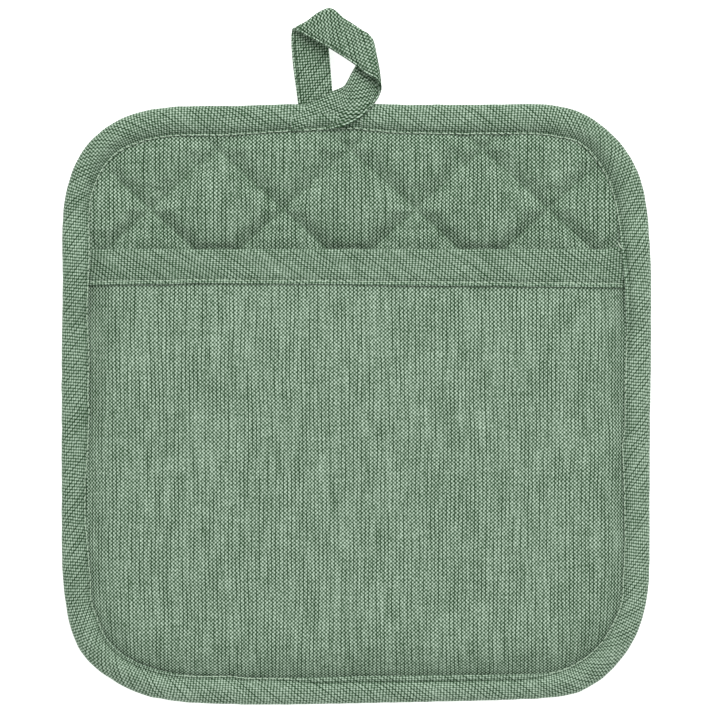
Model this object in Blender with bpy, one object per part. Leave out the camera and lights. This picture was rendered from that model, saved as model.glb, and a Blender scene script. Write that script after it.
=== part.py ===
"""Quilted pot holder with a hand pocket, a bound edge and a hanging loop.

The pot holder lies on its back. +Z points up out of its face, +Y points to
the hanging loop, and z = 0 is the surface that the quilting rests on. All
sizes below are in millimetres, measured from the middle of the square body.
"""
import bmesh
import bpy
import numpy as np
from mathutils import Vector
from mathutils.geometry import delaunay_2d_cdt

MM = 0.001

# ---- the square body ---------------------------------------------------------
HALF_WIDTH = 105.9
BODY_BOTTOM = -107.8
LOOP_TOP = 142.6
FOOTPRINT_MIDDLE = (LOOP_TOP + BODY_BOTTOM) / 2

# Each corner is a soft quarter curve between a side and the top or bottom edge:
# "level" is the height of that edge, and "square" is 2 for a true ellipse.
CORNERS = (
    {"side": 1, "end": 1, "level": 107.9, "reach_x": 44.0, "reach_y": 54.0, "square": 2.4},
    {"side": 1, "end": -1, "level": 106.4, "reach_x": 43.0, "reach_y": 51.0, "square": 2.3},
    {"side": -1, "end": -1, "level": 107.9, "reach_x": 73.0, "reach_y": 58.0, "square": 3.2},
    {"side": -1, "end": 1, "level": 107.2, "reach_x": 51.0, "reach_y": 51.0, "square": 2.7},
)
CORNER_POINTS = 60
OUTLINE_POINTS = 720
OUTLINE_SOFTENING = 30

# ---- cloth -------------------------------------------------------------------
CLOTH = 1.2
PLY_GAP = 0.5
HEM_INSET = 9.7             # the binding's hem, measured in from the outline

# ---- quilted back ------------------------------------------------------------
PAD_EDGE_INSET = 2.6
PAD_EDGE_TOP = 4.8
PAD_EDGE_BOTTOM = 2.05
PAD_RIM_TOP = 3.7
PAD_RIM_BOTTOM = 2.9
PAD_RIM_ROUND = 2.0
PAD_BOUNDARY_COUNT = 120
PAD_RINGS = (
    {"inset": 3.2, "count": 120},
    {"inset": 4.6, "count": 120},
    {"inset": 9.5, "count": 110},
    {"inset": 13.5, "count": 110},
)
DIAMOND_WIDTH = 47.8
DIAMOND_HEIGHT = 43.6
DIAMOND_X = -2.4            # one crossing of the stitch lines
DIAMOND_Y = 4.7
DIAMOND_STEPS = 5
DIAMONDS_OUT = 8            # more than enough to reach every corner
CHANNEL_TOP = 4.3
CROWN_TOP = 7.0
CHANNEL_BOTTOM = 2.4
CROWN_PRESS = 3.5           # deeper than the channel, so crowns rest flat at z = 0
QUILT_FULLNESS = 0.6        # below 1, the crowns are broad and the channels narrow
QUILT_START = 9.5
QUILT_FULL = 18.0
QUILT_MESH_INSET = 16.0

# ---- hand pocket ---------------------------------------------------------------
PANEL_EDGE_INSET = 3.4
PANEL_EDGE_LEVEL = 5.25
PANEL_RISE = 4.0
PANEL_RISE_WIDTH = 12.0
POCKET_GAPE = 5.8           # how far the mouth stands open beyond that rise
GAPE_HALF_WIDTH = 98.0
GAPE_FROM_Y = -85.0
MOUTH_Y = 55.7
PANEL_TOP_Y = 53.7
PANEL_BOUNDARY_COUNT = 150
PANEL_RINGS = (
    {"inset": 9.7, "count": 120},
    {"inset": 12.6, "count": 110},
    {"inset": 15.6, "count": 100},
    {"inset": 18.6, "count": 90},
    {"inset": 22.0, "count": 80},
)
PANEL_SPACING = 8.0
PANEL_MESH_INSET = 26.0
PANEL_MESH_REACH = 96.0
MOUTH_ROWS = (6.0, 12.0)    # mesh rows below the panel's top edge
MOUTH_STEPS = (0.0, 3.2, 6.3, 9.2, 12.2, 15.2, 18.4, 22.0)
MOUTH_SPACING = 6.4
BAND_WIDTH = 13.6
BAND_SWELL = 0.15

# ---- binding ---------------------------------------------------------------------
# The outer face of the binding, from its hem under the pot holder, round the
# edge, to the hem on the face. "lift" is how much a row rises over the pocket.
BINDING_FACE = (
    {"inset": 9.4, "z": 0.30, "lift": 0.0},
    {"inset": 6.0, "z": 0.25, "lift": 0.0},
    {"inset": 3.4, "z": 0.40, "lift": 0.0},
    {"inset": 1.3, "z": 1.20, "lift": 0.1},
    {"inset": 0.2, "z": 2.50, "lift": 0.3},
    {"inset": 0.0, "z": 3.60, "lift": 0.5},
    {"inset": 0.3, "z": 4.80, "lift": 0.8},
    {"inset": 1.5, "z": 6.20, "lift": 1.0},
    {"inset": 3.2, "z": 6.95, "lift": 1.0},
    {"inset": 5.4, "z": 7.00, "lift": 1.0},
    {"inset": 7.7, "z": 6.70, "lift": 1.0},
    {"inset": 9.7, "z": 6.45, "lift": 1.0},
)
BINDING_STATIONS = 112
POCKET_LIFT = 1.65          # over the pocket panel
BAND_LIFT = 1.80            # over the ends of the band, once on each side of the panel
LIFT_FADE = 14.0
LIFT_MARGIN = 3.0

# ---- hanging loop ------------------------------------------------------------------
# Cross lines of the strap, from its edge "a" to its edge "b". Edge "a" is the
# upper one where the strap leaves the binding. Each fold names the line where
# the strap turns over, its level before and after, and how far the strap
# slides along that line as it goes round.
STRAP_THICKNESS = 1.6
STRAP_OVER_BINDING = (
    {"ax": -23.0, "ay": 106.6, "bx": -23.6, "by": 98.3, "z": 8.15},
    {"ax": -15.9, "ay": 109.0, "bx": -16.3, "by": 98.4, "z": 8.20},
    {"ax": -8.8, "ay": 112.2, "bx": -9.2, "by": 98.8, "z": 8.20},
    {"ax": -3.9, "ay": 114.4, "bx": -1.6, "by": 101.2, "z": 8.20},
    {"ax": -0.3, "ay": 119.2, "bx": 4.6, "by": 106.4, "z": 8.10},
    {"ax": 2.2, "ay": 124.6, "bx": 7.0, "by": 110.4, "z": 8.00},
)
RIGHT_FOLD = {"ax": 6.4, "ay": 131.2, "bx": 8.7, "by": 115.0, "z_in": 7.9, "z_out": 11.1, "slide": 3.4}
STRAP_ON_TOP = (
    {"ax": 1.9, "ay": 134.5, "bx": 2.6, "by": 119.3, "z": 11.0},
    {"ax": -1.8, "ay": 137.2, "bx": -4.4, "by": 124.2, "z": 10.4},
    {"ax": -5.2, "ay": 139.6, "bx": -12.5, "by": 129.8, "z": 9.6},
)
LEFT_FOLD = {"ax": -9.3, "ay": 143.0, "bx": -23.3, "by": 136.2, "z_in": 9.0, "z_out": 5.8, "slide": 2.6}
STRAP_BEHIND = (
    {"ax": -10.2, "ay": 131.5, "bx": -23.1, "by": 129.0, "z": 5.2},
    {"ax": -10.0, "ay": 125.0, "bx": -22.7, "by": 123.0, "z": 4.6},
    {"ax": -9.3, "ay": 117.0, "bx": -22.0, "by": 116.0, "z": 4.0},
    {"ax": -8.8, "ay": 108.4, "bx": -21.1, "by": 107.9, "z": 3.6},
)
LOOP_MIDDLE = np.array((-6.5, 121.0))
FOLD_STEPS = 8
STRAP_SPACING = 3.5
# The strap's cross-section: place across it, and height in half thicknesses.
STRAP_SECTION = (
    {"across": 0.00, "height": 0.00},
    {"across": 0.05, "height": 0.75},
    {"across": 0.16, "height": 1.00},
    {"across": 0.50, "height": 0.90},
    {"across": 0.84, "height": 1.00},
    {"across": 0.95, "height": 0.75},
    {"across": 1.00, "height": 0.00},
    {"across": 0.95, "height": -0.75},
    {"across": 0.84, "height": -1.00},
    {"across": 0.50, "height": -0.90},
    {"across": 0.16, "height": -1.00},
    {"across": 0.05, "height": -0.75},
)

# ---- materials -----------------------------------------------------------------------
ROUGHNESS = 0.92
COLORS = {
    "quilted_back": (0.185, 0.275, 0.195),
    "pocket_panel": (0.215, 0.305, 0.222),
    "pocket_band": (0.190, 0.282, 0.198),
    "edge_binding": (0.196, 0.284, 0.202),
    "hanging_loop": (0.190, 0.280, 0.198),
}


# ---- plain geometry --------------------------------------------------------------------
def ease(value, low, high):
    """A smooth step from 0 at low to 1 at high."""
    part = np.clip((value - low) / (high - low), 0.0, 1.0)
    return part * part * (3.0 - 2.0 * part)


def resample_loop(loop, count):
    """Spread count points evenly along a closed loop."""
    closed = np.vstack((loop, loop[:1]))
    run = np.concatenate(([0.0], np.cumsum(np.linalg.norm(np.diff(closed, axis=0), axis=1))))
    marks = np.linspace(0.0, run[-1], count, endpoint=False)
    return np.column_stack([np.interp(marks, run, closed[:, axis]) for axis in (0, 1)])


def body_outline():
    """The silhouette of the body, clockwise from the middle of its top edge."""
    quarters = []
    for corner in CORNERS:
        angle = np.linspace(np.pi / 2, 0.0, CORNER_POINTS)
        along_x = np.cos(angle) ** (2 / corner["square"])
        along_y = np.sin(angle) ** (2 / corner["square"])
        x = corner["side"] * (HALF_WIDTH - corner["reach_x"] * (1.0 - along_x))
        y = corner["end"] * (corner["level"] - corner["reach_y"] * (1.0 - along_y))
        quarter = np.column_stack((x, y))
        if corner["side"] != corner["end"]:
            quarter = quarter[::-1]
        quarters.append(quarter)
    loop = resample_loop(np.vstack(quarters), OUTLINE_POINTS)
    for _ in range(OUTLINE_SOFTENING):
        beside = np.roll(loop, 1, axis=0) + np.roll(loop, -1, axis=0)
        loop = 0.5 * loop + 0.25 * beside
    return resample_loop(loop, OUTLINE_POINTS)


def inward(loop):
    """Unit vectors that point into a clockwise loop."""
    travel = np.roll(loop, -1, axis=0) - np.roll(loop, 1, axis=0)
    travel /= np.linalg.norm(travel, axis=1)[:, None]
    return np.column_stack((travel[:, 1], -travel[:, 0]))


OUTLINE = body_outline()
INWARD = inward(OUTLINE)


def inset_loop(inset, count):
    """The outline moved inwards, with count points."""
    return resample_loop(OUTLINE + INWARD * inset, count)


def inset_of(x, y):
    """How far each point lies inside the outline; negative when it is outside."""
    x = np.atleast_1d(np.asarray(x, dtype=float))
    y = np.atleast_1d(np.asarray(y, dtype=float))
    across = x[:, None] - OUTLINE[None, :, 0]
    along = y[:, None] - OUTLINE[None, :, 1]
    near = np.argmin(across ** 2 + along ** 2, axis=1)
    rows = np.arange(len(x))
    return across[rows, near] * INWARD[near, 0] + along[rows, near] * INWARD[near, 1]


def cut_at(loop, level):
    """The part of a clockwise loop that lies below a level, from right to left."""
    below = loop[:, 1] < level
    first = int(np.argmax(below & ~np.roll(below, 1)))
    turned = np.roll(loop, -first, axis=0)
    return turned[turned[:, 1] < level]


def offset_path(path, distance):
    """A flat open path moved to its left by a distance."""
    travel = np.gradient(path, axis=0)
    travel /= np.linalg.norm(travel, axis=1)[:, None]
    return path + distance * np.column_stack((-travel[:, 1], travel[:, 0]))


def smooth_rows(rows, spacing):
    """A smooth curve through rows of numbers."""
    ends = np.vstack((2 * rows[0] - rows[1], rows, 2 * rows[-1] - rows[-2]))
    result = []
    for index in range(1, len(ends) - 2):
        before, here, there, after = ends[index - 1:index + 3]
        count = max(1, int(round(np.linalg.norm(there - here) / spacing)))
        for part in np.arange(count) / count:
            bend = 2 * before - 5 * here + 4 * there - after
            twist = 3 * here - before - 3 * there + after
            result.append(0.5 * (2 * here + (there - before) * part + bend * part ** 2 + twist * part ** 3))
    result.append(rows[-1])
    return np.array(result)


# ---- height of each layer ------------------------------------------------------------------
def over_pocket(y):
    """1 where the pocket panel lies under the binding, 0 above the mouth."""
    return 1.0 - ease(y, MOUTH_Y, MOUTH_Y + LIFT_FADE)


def at_band(y):
    """1 where the ends of the band lie under the binding."""
    band_foot = MOUTH_Y - BAND_WIDTH - LIFT_MARGIN
    return ease(y, band_foot - LIFT_FADE, band_foot) * over_pocket(y)


def puff(x, y):
    """Quilting: 0 on a stitch line, 1 in the middle of a diamond."""
    across = (x - DIAMOND_X) / DIAMOND_WIDTH
    along = (y - DIAMOND_Y) / DIAMOND_HEIGHT
    swell = np.abs(np.sin(np.pi * (across + along)) * np.sin(np.pi * (across - along)))
    return swell ** QUILT_FULLNESS


def rim(inset):
    """A quarter round at the edge of the quilted back: 0 at the edge, 1 inside."""
    part = np.clip((inset - PAD_EDGE_INSET) / PAD_RIM_ROUND, 0.0, 1.0)
    return np.sqrt(1.0 - (1.0 - part) ** 2)


def pad_top(x, y):
    """Height of the quilted back's face."""
    inset = inset_of(x, y)
    inside = ease(inset, QUILT_START, QUILT_FULL)
    edge = PAD_RIM_TOP + (PAD_EDGE_TOP - PAD_RIM_TOP) * rim(inset)
    edge = edge - BAND_LIFT * at_band(y) * rim(inset)
    quilt = CHANNEL_TOP + (CROWN_TOP - CHANNEL_TOP) * puff(x, y)
    return edge * (1.0 - inside) + quilt * inside


def pad_bottom(x, y):
    """Height of the quilted back's underside."""
    inset = inset_of(x, y)
    inside = ease(inset, QUILT_START, QUILT_FULL)
    edge = PAD_RIM_BOTTOM + (PAD_EDGE_BOTTOM - PAD_RIM_BOTTOM) * rim(inset)
    quilt = np.maximum(CHANNEL_BOTTOM - CROWN_PRESS * puff(x, y), 0.0)
    return edge * (1.0 - inside) + quilt * inside


def panel_bottom(x, y):
    """Height of the pocket panel's underside."""
    part = np.clip((inset_of(x, y) - HEM_INSET) / PANEL_RISE_WIDTH, 0.0, 1.0)
    rise = 1.0 - (1.0 - part) ** 2
    across = 1.0 - np.clip(np.abs(x) / GAPE_HALF_WIDTH, 0.0, 1.0) ** 3
    gape = POCKET_GAPE * across * ease(y, GAPE_FROM_Y, MOUTH_Y)
    return PANEL_EDGE_LEVEL + (PANEL_RISE + gape) * rise


def panel_top(x, y):
    """Height of the pocket panel's face."""
    return panel_bottom(x, y) + CLOTH


# ---- making solids -----------------------------------------------------------------------
def clear_scene():
    """Empty the scene before the pot holder is made."""
    for item in list(bpy.data.objects):
        bpy.data.objects.remove(item, do_unlink=True)


def cloth_material(name):
    """A plain matt cloth in the piece's own colour."""
    material = bpy.data.materials.new(name)
    material.use_nodes = True
    shader = material.node_tree.nodes["Principled BSDF"]
    shader.inputs["Base Color"].default_value = (*COLORS[name], 1.0)
    shader.inputs["Roughness"].default_value = ROUGHNESS
    shader.inputs["Metallic"].default_value = 0.0
    return material


def finish_solid(name, work):
    """Turn a bmesh in millimetres into a smooth-shaded object in its place."""
    bmesh.ops.recalc_face_normals(work, faces=work.faces)
    bmesh.ops.triangulate(work, faces=work.faces)
    bmesh.ops.scale(work, vec=Vector((MM, MM, MM)), verts=work.verts)
    mesh = bpy.data.meshes.new(name)
    work.to_mesh(mesh)
    work.free()
    mesh.shade_smooth()
    mesh.materials.append(cloth_material(name))
    item = bpy.data.objects.new(name, mesh)
    item.location = (0.0, -FOOTPRINT_MIDDLE * MM, 0.0)
    bpy.context.scene.collection.objects.link(item)
    return item


def layer(name, boundary, lines, loose, top, bottom):
    """Fill a flat boundary, extrude it, and bend both faces to their heights."""
    points = [Vector(point) for point in np.vstack([boundary, *lines, loose])]
    count = len(boundary)
    edges = [(index, (index + 1) % count) for index in range(count)]
    for line in lines:
        edges += [(count + index, count + index + 1) for index in range(len(line) - 1)]
        count += len(line)
    plan, _, faces, _, _, _ = delaunay_2d_cdt(points, edges, [], 1, 1e-4)

    work = bmesh.new()
    lower = [work.verts.new((point.x, point.y, 0.0)) for point in plan]
    for face in faces:
        work.faces.new([lower[corner] for corner in face])
    raised = bmesh.ops.extrude_face_region(work, geom=work.faces[:])["geom"]
    upper = [part for part in raised if isinstance(part, bmesh.types.BMVert)]
    for verts, height in ((lower, bottom), (upper, top)):
        x = np.array([vert.co.x for vert in verts])
        y = np.array([vert.co.y for vert in verts])
        for vert, z in zip(verts, height(x, y)):
            vert.co.z = z
    return finish_solid(name, work)


def skin(name, sections, closed):
    """Join a row of equal closed sections into one solid."""
    work = bmesh.new()
    rows = [[work.verts.new(point) for point in section] for section in sections]
    pairs = list(zip(rows, rows[1:]))
    if closed:
        pairs.append((rows[-1], rows[0]))
    else:
        work.faces.new(rows[0])
        work.faces.new(rows[-1])
    for here, there in pairs:
        for index in range(len(here)):
            work.faces.new((here[index - 1], here[index], there[index], there[index - 1]))
    return finish_solid(name, work)


# ---- the pieces ------------------------------------------------------------------------
def make_quilted_back():
    """Two faces and a filling, stitched into diamonds."""
    boundary = inset_loop(PAD_EDGE_INSET, PAD_BOUNDARY_COUNT)
    rings = [inset_loop(ring["inset"], ring["count"]) for ring in PAD_RINGS]
    reach = np.arange(-DIAMONDS_OUT * DIAMOND_STEPS, DIAMONDS_OUT * DIAMOND_STEPS + 1)
    first, second = np.meshgrid(reach, reach)
    x = DIAMOND_X + (first + second).ravel() * DIAMOND_WIDTH / (2 * DIAMOND_STEPS)
    y = DIAMOND_Y + (first - second).ravel() * DIAMOND_HEIGHT / (2 * DIAMOND_STEPS)
    inside = inset_of(x, y) > QUILT_MESH_INSET
    lattice = np.column_stack((x, y))[inside]
    return layer("quilted_back", boundary, rings, lattice, pad_top, pad_bottom)


def mouth_stations():
    """Places along the mouth, closer together near the binding."""
    run = cut_at(inset_loop(PANEL_EDGE_INSET, OUTLINE_POINTS), MOUTH_Y)
    half_width = np.abs(run[[0, -1], 0]).min()
    near_edge = half_width - np.array(MOUTH_STEPS)
    count = int(2 * near_edge[-1] / MOUTH_SPACING) + 1
    middle = np.linspace(-near_edge[-1], near_edge[-1], count)
    return np.concatenate((-near_edge[:-1], middle, near_edge[-2::-1]))


def make_pocket_panel():
    """One ply over the lower three quarters of the face."""
    mouth_x = mouth_stations()
    mouth = np.column_stack((mouth_x, np.full(len(mouth_x), PANEL_TOP_Y)))
    run = cut_at(inset_loop(PANEL_EDGE_INSET, PANEL_BOUNDARY_COUNT), PANEL_TOP_Y - 1.0)
    boundary = np.vstack((run, mouth))
    lines = [mouth[1:-1] - np.array((0.0, drop)) for drop in MOUTH_ROWS]
    ring_top = PANEL_TOP_Y - MOUTH_ROWS[-1] - 3.0
    for ring in PANEL_RINGS:
        lines.append(cut_at(inset_loop(ring["inset"], ring["count"]), ring_top))
    x, y = np.meshgrid(np.arange(-PANEL_MESH_REACH, PANEL_MESH_REACH + 1.0, PANEL_SPACING),
                       np.arange(-PANEL_MESH_REACH, ring_top, PANEL_SPACING))
    inside = inset_of(x.ravel(), y.ravel()) > PANEL_MESH_INSET
    grid = np.column_stack((x.ravel(), y.ravel()))[inside]
    return layer("pocket_panel", boundary, lines, grid, panel_top, panel_bottom)


def band_section():
    """The folded band: place up the panel, side of the panel, height off it."""
    foot = MOUTH_Y - BAND_WIDTH
    bend = MOUTH_Y - CLOTH
    near = PLY_GAP
    far = PLY_GAP + CLOTH
    front = [(foot, 1, far), (foot + 1.2, 1, far + 0.3 * BAND_SWELL), (foot + 4.5, 1, far + BAND_SWELL),
             (bend - 3.6, 1, far + BAND_SWELL), (bend - 0.6, 1, far)]
    nose = [(MOUTH_Y - 0.25, 1, 0.6 * far), (MOUTH_Y, 0, 0.0), (MOUTH_Y - 0.25, -1, 0.6 * far)]
    back = [(bend - 0.6, -1, far), (foot + 4.5, -1, far), (foot, -1, far)]
    lining = [(foot, -1, near), (foot + 4.5, -1, near), (bend - 0.4, -1, near), (bend, 0, 0.0),
              (bend - 0.4, 1, near), (foot + 4.5, 1, near), (foot, 1, near)]
    return front + nose + back + lining


def make_pocket_band():
    """A strip folded over the pocket's mouth, its ends under the binding."""
    section = band_section()
    up = np.array([y for y, side, off in section])
    off = np.array([side * (CLOTH / 2 + off) for y, side, off in section])
    sections = []
    for x in mouth_stations():
        across = np.full(len(up), x)
        level = panel_bottom(across, np.minimum(up, PANEL_TOP_Y)) + CLOTH / 2
        sections.append(np.column_stack((across, up, level + off)))
    return skin("pocket_band", sections, closed=False)


def make_edge_binding():
    """A strip folded round the whole edge and stitched through on both hems."""
    inset = np.array([row["inset"] for row in BINDING_FACE])
    height = np.array([row["z"] for row in BINDING_FACE])
    share = np.array([row["lift"] for row in BINDING_FACE])
    sections = []
    for index in np.linspace(0, OUTLINE_POINTS, BINDING_STATIONS, endpoint=False).astype(int):
        edge_y = OUTLINE[index, 1]
        lift = POCKET_LIFT * over_pocket(edge_y) + BAND_LIFT * at_band(edge_y)
        face = np.column_stack((-inset, height + share * lift))
        profile = np.vstack((face, offset_path(face, CLOTH)[::-1]))
        place = OUTLINE[index] - profile[:, :1] * INWARD[index]
        sections.append(np.column_stack((place, profile[:, 1])))
    return skin("edge_binding", sections, closed=True)


def strap_fold(row):
    """Cross lines round one fold, from the level before it to the level after."""
    start = np.array((row["ax"], row["ay"]))
    end = np.array((row["bx"], row["by"]))
    line = (end - start) / np.linalg.norm(end - start)
    away = np.array((line[1], -line[0]))
    if np.dot(away, (start + end) / 2 - LOOP_MIDDLE) < 0:
        away = -away
    middle = (row["z_out"] + row["z_in"]) / 2
    climb = (row["z_out"] - row["z_in"]) / 2
    radius = abs(climb)
    rows = []
    for angle in np.linspace(-np.pi / 2, np.pi / 2, FOLD_STEPS):
        out = away * (radius * np.cos(angle) - radius - STRAP_THICKNESS / 2)
        slide = line * row["slide"] * np.sign(climb) * angle / np.pi
        rows.append((*(start + out - slide), *(end + out - slide), middle + climb * np.sin(angle)))
    return rows


def strap_run(table):
    """Cross lines of a stretch that lies flat."""
    return [(row["ax"], row["ay"], row["bx"], row["by"], row["z"]) for row in table]


def make_hanging_loop():
    """The tail of the binding: right, over to the front, up left and down behind."""
    rows = strap_run(STRAP_OVER_BINDING) + strap_fold(RIGHT_FOLD) + strap_run(STRAP_ON_TOP)
    rows += strap_fold(LEFT_FOLD) + strap_run(STRAP_BEHIND)
    rows = smooth_rows(np.array(rows), STRAP_SPACING)
    edge_a = rows[:, (0, 1, 4)]
    edge_b = rows[:, (2, 3, 4)]
    travel = np.gradient((edge_a + edge_b) / 2, axis=0)
    face = np.cross(travel, edge_b - edge_a)
    face *= STRAP_THICKNESS / 2 / np.linalg.norm(face, axis=1)[:, None]
    sections = []
    for start, side, up in zip(edge_a, edge_b - edge_a, face):
        sections.append([start + side * spot["across"] + up * spot["height"] for spot in STRAP_SECTION])
    return skin("hanging_loop", sections, closed=False)


def main():
    """Make the pot holder."""
    clear_scene()
    make_quilted_back()
    make_pocket_panel()
    make_pocket_band()
    make_edge_binding()
    make_hanging_loop()


main()
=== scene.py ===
# %% [markdown]
# # A quilted pot holder with a hand pocket
# The real thing is five sewn pieces: a quilted back, a pocket panel, a folded
# band over the pocket's mouth, a binding round the whole edge, and a hanging
# loop, which is the tail of the binding. All are cut from one chambray, a plain
# weave with green warp yarns and pale weft yarns. This script dresses the
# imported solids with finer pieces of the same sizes.

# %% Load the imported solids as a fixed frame
import math

import bpy
import numpy as np
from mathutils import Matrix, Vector, noise
from mathutils.bvhtree import BVHTree
from mathutils.geometry import delaunay_2d_cdt
from mathutils.kdtree import KDTree


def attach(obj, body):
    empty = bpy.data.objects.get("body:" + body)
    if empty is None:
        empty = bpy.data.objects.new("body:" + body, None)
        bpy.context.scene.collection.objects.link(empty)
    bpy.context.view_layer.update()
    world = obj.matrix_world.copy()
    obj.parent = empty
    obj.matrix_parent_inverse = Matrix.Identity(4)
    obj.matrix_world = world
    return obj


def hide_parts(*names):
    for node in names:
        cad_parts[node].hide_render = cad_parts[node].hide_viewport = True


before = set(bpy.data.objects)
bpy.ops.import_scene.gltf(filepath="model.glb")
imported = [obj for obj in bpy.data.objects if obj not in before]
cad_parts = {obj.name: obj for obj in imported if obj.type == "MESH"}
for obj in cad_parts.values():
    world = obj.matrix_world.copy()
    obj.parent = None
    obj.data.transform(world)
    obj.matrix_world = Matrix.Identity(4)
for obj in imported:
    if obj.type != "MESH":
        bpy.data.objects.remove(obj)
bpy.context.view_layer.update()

# %% [markdown]
# ## The outline
# The body is a square with four uneven soft corners, as hand sewing leaves it.
# A quarter of a superellipse per corner gives that with six numbers each, and a
# little averaging joins the quarters. Sizes are millimetres from the middle of
# the body, as in the part's source; only the finished meshes are in metres.

# %% The outline of the body
MM = 0.001
HALF_WIDTH = 105.9
BODY_BOTTOM = -107.8
LOOP_TOP = 142.6
FOOTPRINT_MIDDLE = (LOOP_TOP + BODY_BOTTOM) / 2
# of each corner: its side and end, the level of that end, its reach along x and y, how square it is
CORNERS = (
    (1, 1, 107.9, 44.0, 54.0, 2.4),
    (1, -1, 106.4, 43.0, 51.0, 2.3),
    (-1, -1, 107.9, 73.0, 58.0, 3.2),
    (-1, 1, 107.2, 51.0, 51.0, 2.7),
)
CORNER_POINTS = 120
OUTLINE_POINTS = 1440
OUTLINE_SOFTENING = 120


def run_lengths(path):
    """The length along a path at each of its points."""
    return np.concatenate(([0.0], np.cumsum(np.linalg.norm(np.diff(path, axis=0), axis=1))))


def read_along(marks, run, path):
    """The points of a path at given lengths along it."""
    return np.column_stack([np.interp(marks, run, column) for column in path.T])


def resample(path, count, closed):
    """Spread count points evenly along a path of points in any number of axes."""
    rows = np.vstack((path, path[:1])) if closed else path
    run = run_lengths(rows)
    return read_along(np.linspace(0.0, run[-1], count, endpoint=not closed), run, rows)


def body_outline():
    """The silhouette of the body, clockwise from the middle of its top edge."""
    quarters = []
    angle = np.linspace(np.pi / 2, 0.0, CORNER_POINTS)
    for side, end, level, reach_x, reach_y, square in CORNERS:
        x = side * (HALF_WIDTH - reach_x * (1.0 - np.cos(angle) ** (2 / square)))
        y = end * (level - reach_y * (1.0 - np.sin(angle) ** (2 / square)))
        quarter = np.column_stack((x, y))
        quarters.append(quarter if side == end else quarter[::-1])
    loop = resample(np.vstack(quarters), OUTLINE_POINTS, closed=True)
    for _ in range(OUTLINE_SOFTENING):
        beside = np.roll(loop, 1, axis=0) + np.roll(loop, -1, axis=0)
        loop = 0.5 * loop + 0.25 * beside
    return resample(loop, OUTLINE_POINTS, closed=True)


def inward_of(loop):
    """Unit vectors that point into a clockwise loop."""
    travel = np.roll(loop, -1, axis=0) - np.roll(loop, 1, axis=0)
    travel /= np.linalg.norm(travel, axis=1)[:, None]
    return np.column_stack((travel[:, 1], -travel[:, 0]))


OUTLINE = body_outline()
INWARD = inward_of(OUTLINE)
OUTLINE_STEP = np.linalg.norm(OUTLINE[1] - OUTLINE[0])
OUTLINE_LENGTH = OUTLINE_STEP * OUTLINE_POINTS
print(f"the outline is {OUTLINE_LENGTH:.0f} mm long")

# %% Distance from the edge, and smooth wobble
near_outline = KDTree(OUTLINE_POINTS)
for index, (x, y) in enumerate(OUTLINE):
    near_outline.insert((x, y, 0.0), index)
near_outline.balance()


def edge_of(x, y):
    """For each point, how far it lies inside the outline, and the nearest outline point."""
    near = np.array([near_outline.find((px, py, 0.0))[1] for px, py in zip(x, y)], dtype=int)
    across = np.column_stack((x, y)) - OUTLINE[near]
    return np.sum(across * INWARD[near], axis=1), near


def inset_loop(inset, count):
    """The outline moved inwards, with count points."""
    return resample(OUTLINE + INWARD * inset, count, closed=True)


def deeper_than(inset, x, y):
    """Those of the places that lie further in than inset."""
    near = (np.abs(x) < HALF_WIDTH) & (np.abs(y) < -BODY_BOTTOM)
    places = np.column_stack((x[near], y[near]))
    return places[edge_of(*places.T)[0] > inset]


def ease(value, low, high):
    """A smooth step from 0 at low to 1 at high."""
    part = np.clip((value - low) / (high - low), 0.0, 1.0)
    return part * part * (3.0 - 2.0 * part)


def bell(value, middle, width):
    """1 in the middle, falling off to 0 on both sides."""
    return np.exp(-((value - middle) / width) ** 2)


def wobble(x, y, size, seed):
    """Smooth unevenness between about -1 and 1, with lumps of the given size in mm."""
    x, y = np.broadcast_arrays(np.asarray(x, dtype=float), np.asarray(y, dtype=float))
    places = zip(x.ravel() / size, y.ravel() / size)
    values = [noise.noise((px, py, seed)) for px, py in places]
    return 1.6 * np.array(values).reshape(x.shape)


# %% [markdown]
# ## Turning points into cloth
# Every piece carries its own count of yarns in a UV map: across is the number
# of the warp yarn, up is the number of the weft yarn. The weave is then drawn
# by the material along the real yarns, also where cloth is bent, gathered or
# cut on the bias. Straight pieces count along x and y. The strips were cut on
# the bias and pulled, so their yarns lie at uneven angles to the strip.

# %% Yarn counts and a maker of meshes
WARP_PITCH = 0.698
WEFT_PITCH = 0.672
STRIP_WARP = np.array((0.889, 1.161))   # warp yarns for each mm along and across a strip
STRIP_WEFT = np.array((0.933, -1.328))  # weft yarns for each mm along and across a strip


def straight_yarns(x, y):
    """Yarn counts of cloth that lies square to the pot holder."""
    return np.column_stack((x / WARP_PITCH, y / WEFT_PITCH))


def strip_yarns(along, across):
    """Yarn counts of a bias strip, from its own length and width."""
    place = np.column_stack((along, across))
    return np.column_stack((place @ STRIP_WARP, place @ STRIP_WEFT))


def put_in_scene(name, data):
    """A new object in the scene, made of a mesh, a lamp or a camera."""
    made = bpy.data.objects.new(name, data)
    bpy.context.scene.collection.objects.link(made)
    return made


def make_piece(name, points, faces, yarns, material):
    """A smooth mesh from points in millimetres, with a yarn count at each point."""
    place = (np.asarray(points) - (0.0, FOOTPRINT_MIDDLE, 0.0)) * MM
    mesh = bpy.data.meshes.new(name)
    mesh.from_pydata(place.tolist(), [], [tuple(map(int, face)) for face in faces])
    mesh.update()
    corner_of = np.zeros(len(mesh.loops), dtype=np.int32)
    mesh.loops.foreach_get("vertex_index", corner_of)
    layer = mesh.uv_layers.new(name="yarns")
    layer.uv.foreach_set("vector", np.asarray(yarns, dtype=np.float32)[corner_of].ravel())
    mesh.shade_smooth()
    mesh.materials.append(material)
    print(name, "has", len(mesh.vertices), "points and", len(mesh.polygons), "faces")
    return put_in_scene(name, mesh)


def set_tone_and_shade(piece, values):
    """Make the cloth paler, or darker below 0, at each point of a piece, as its own tone and as painted
    shade; chambray reads it.
    """
    piece.data.attributes.new("tone_and_shade", "FLOAT", "POINT").data.foreach_set("value", values)


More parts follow.
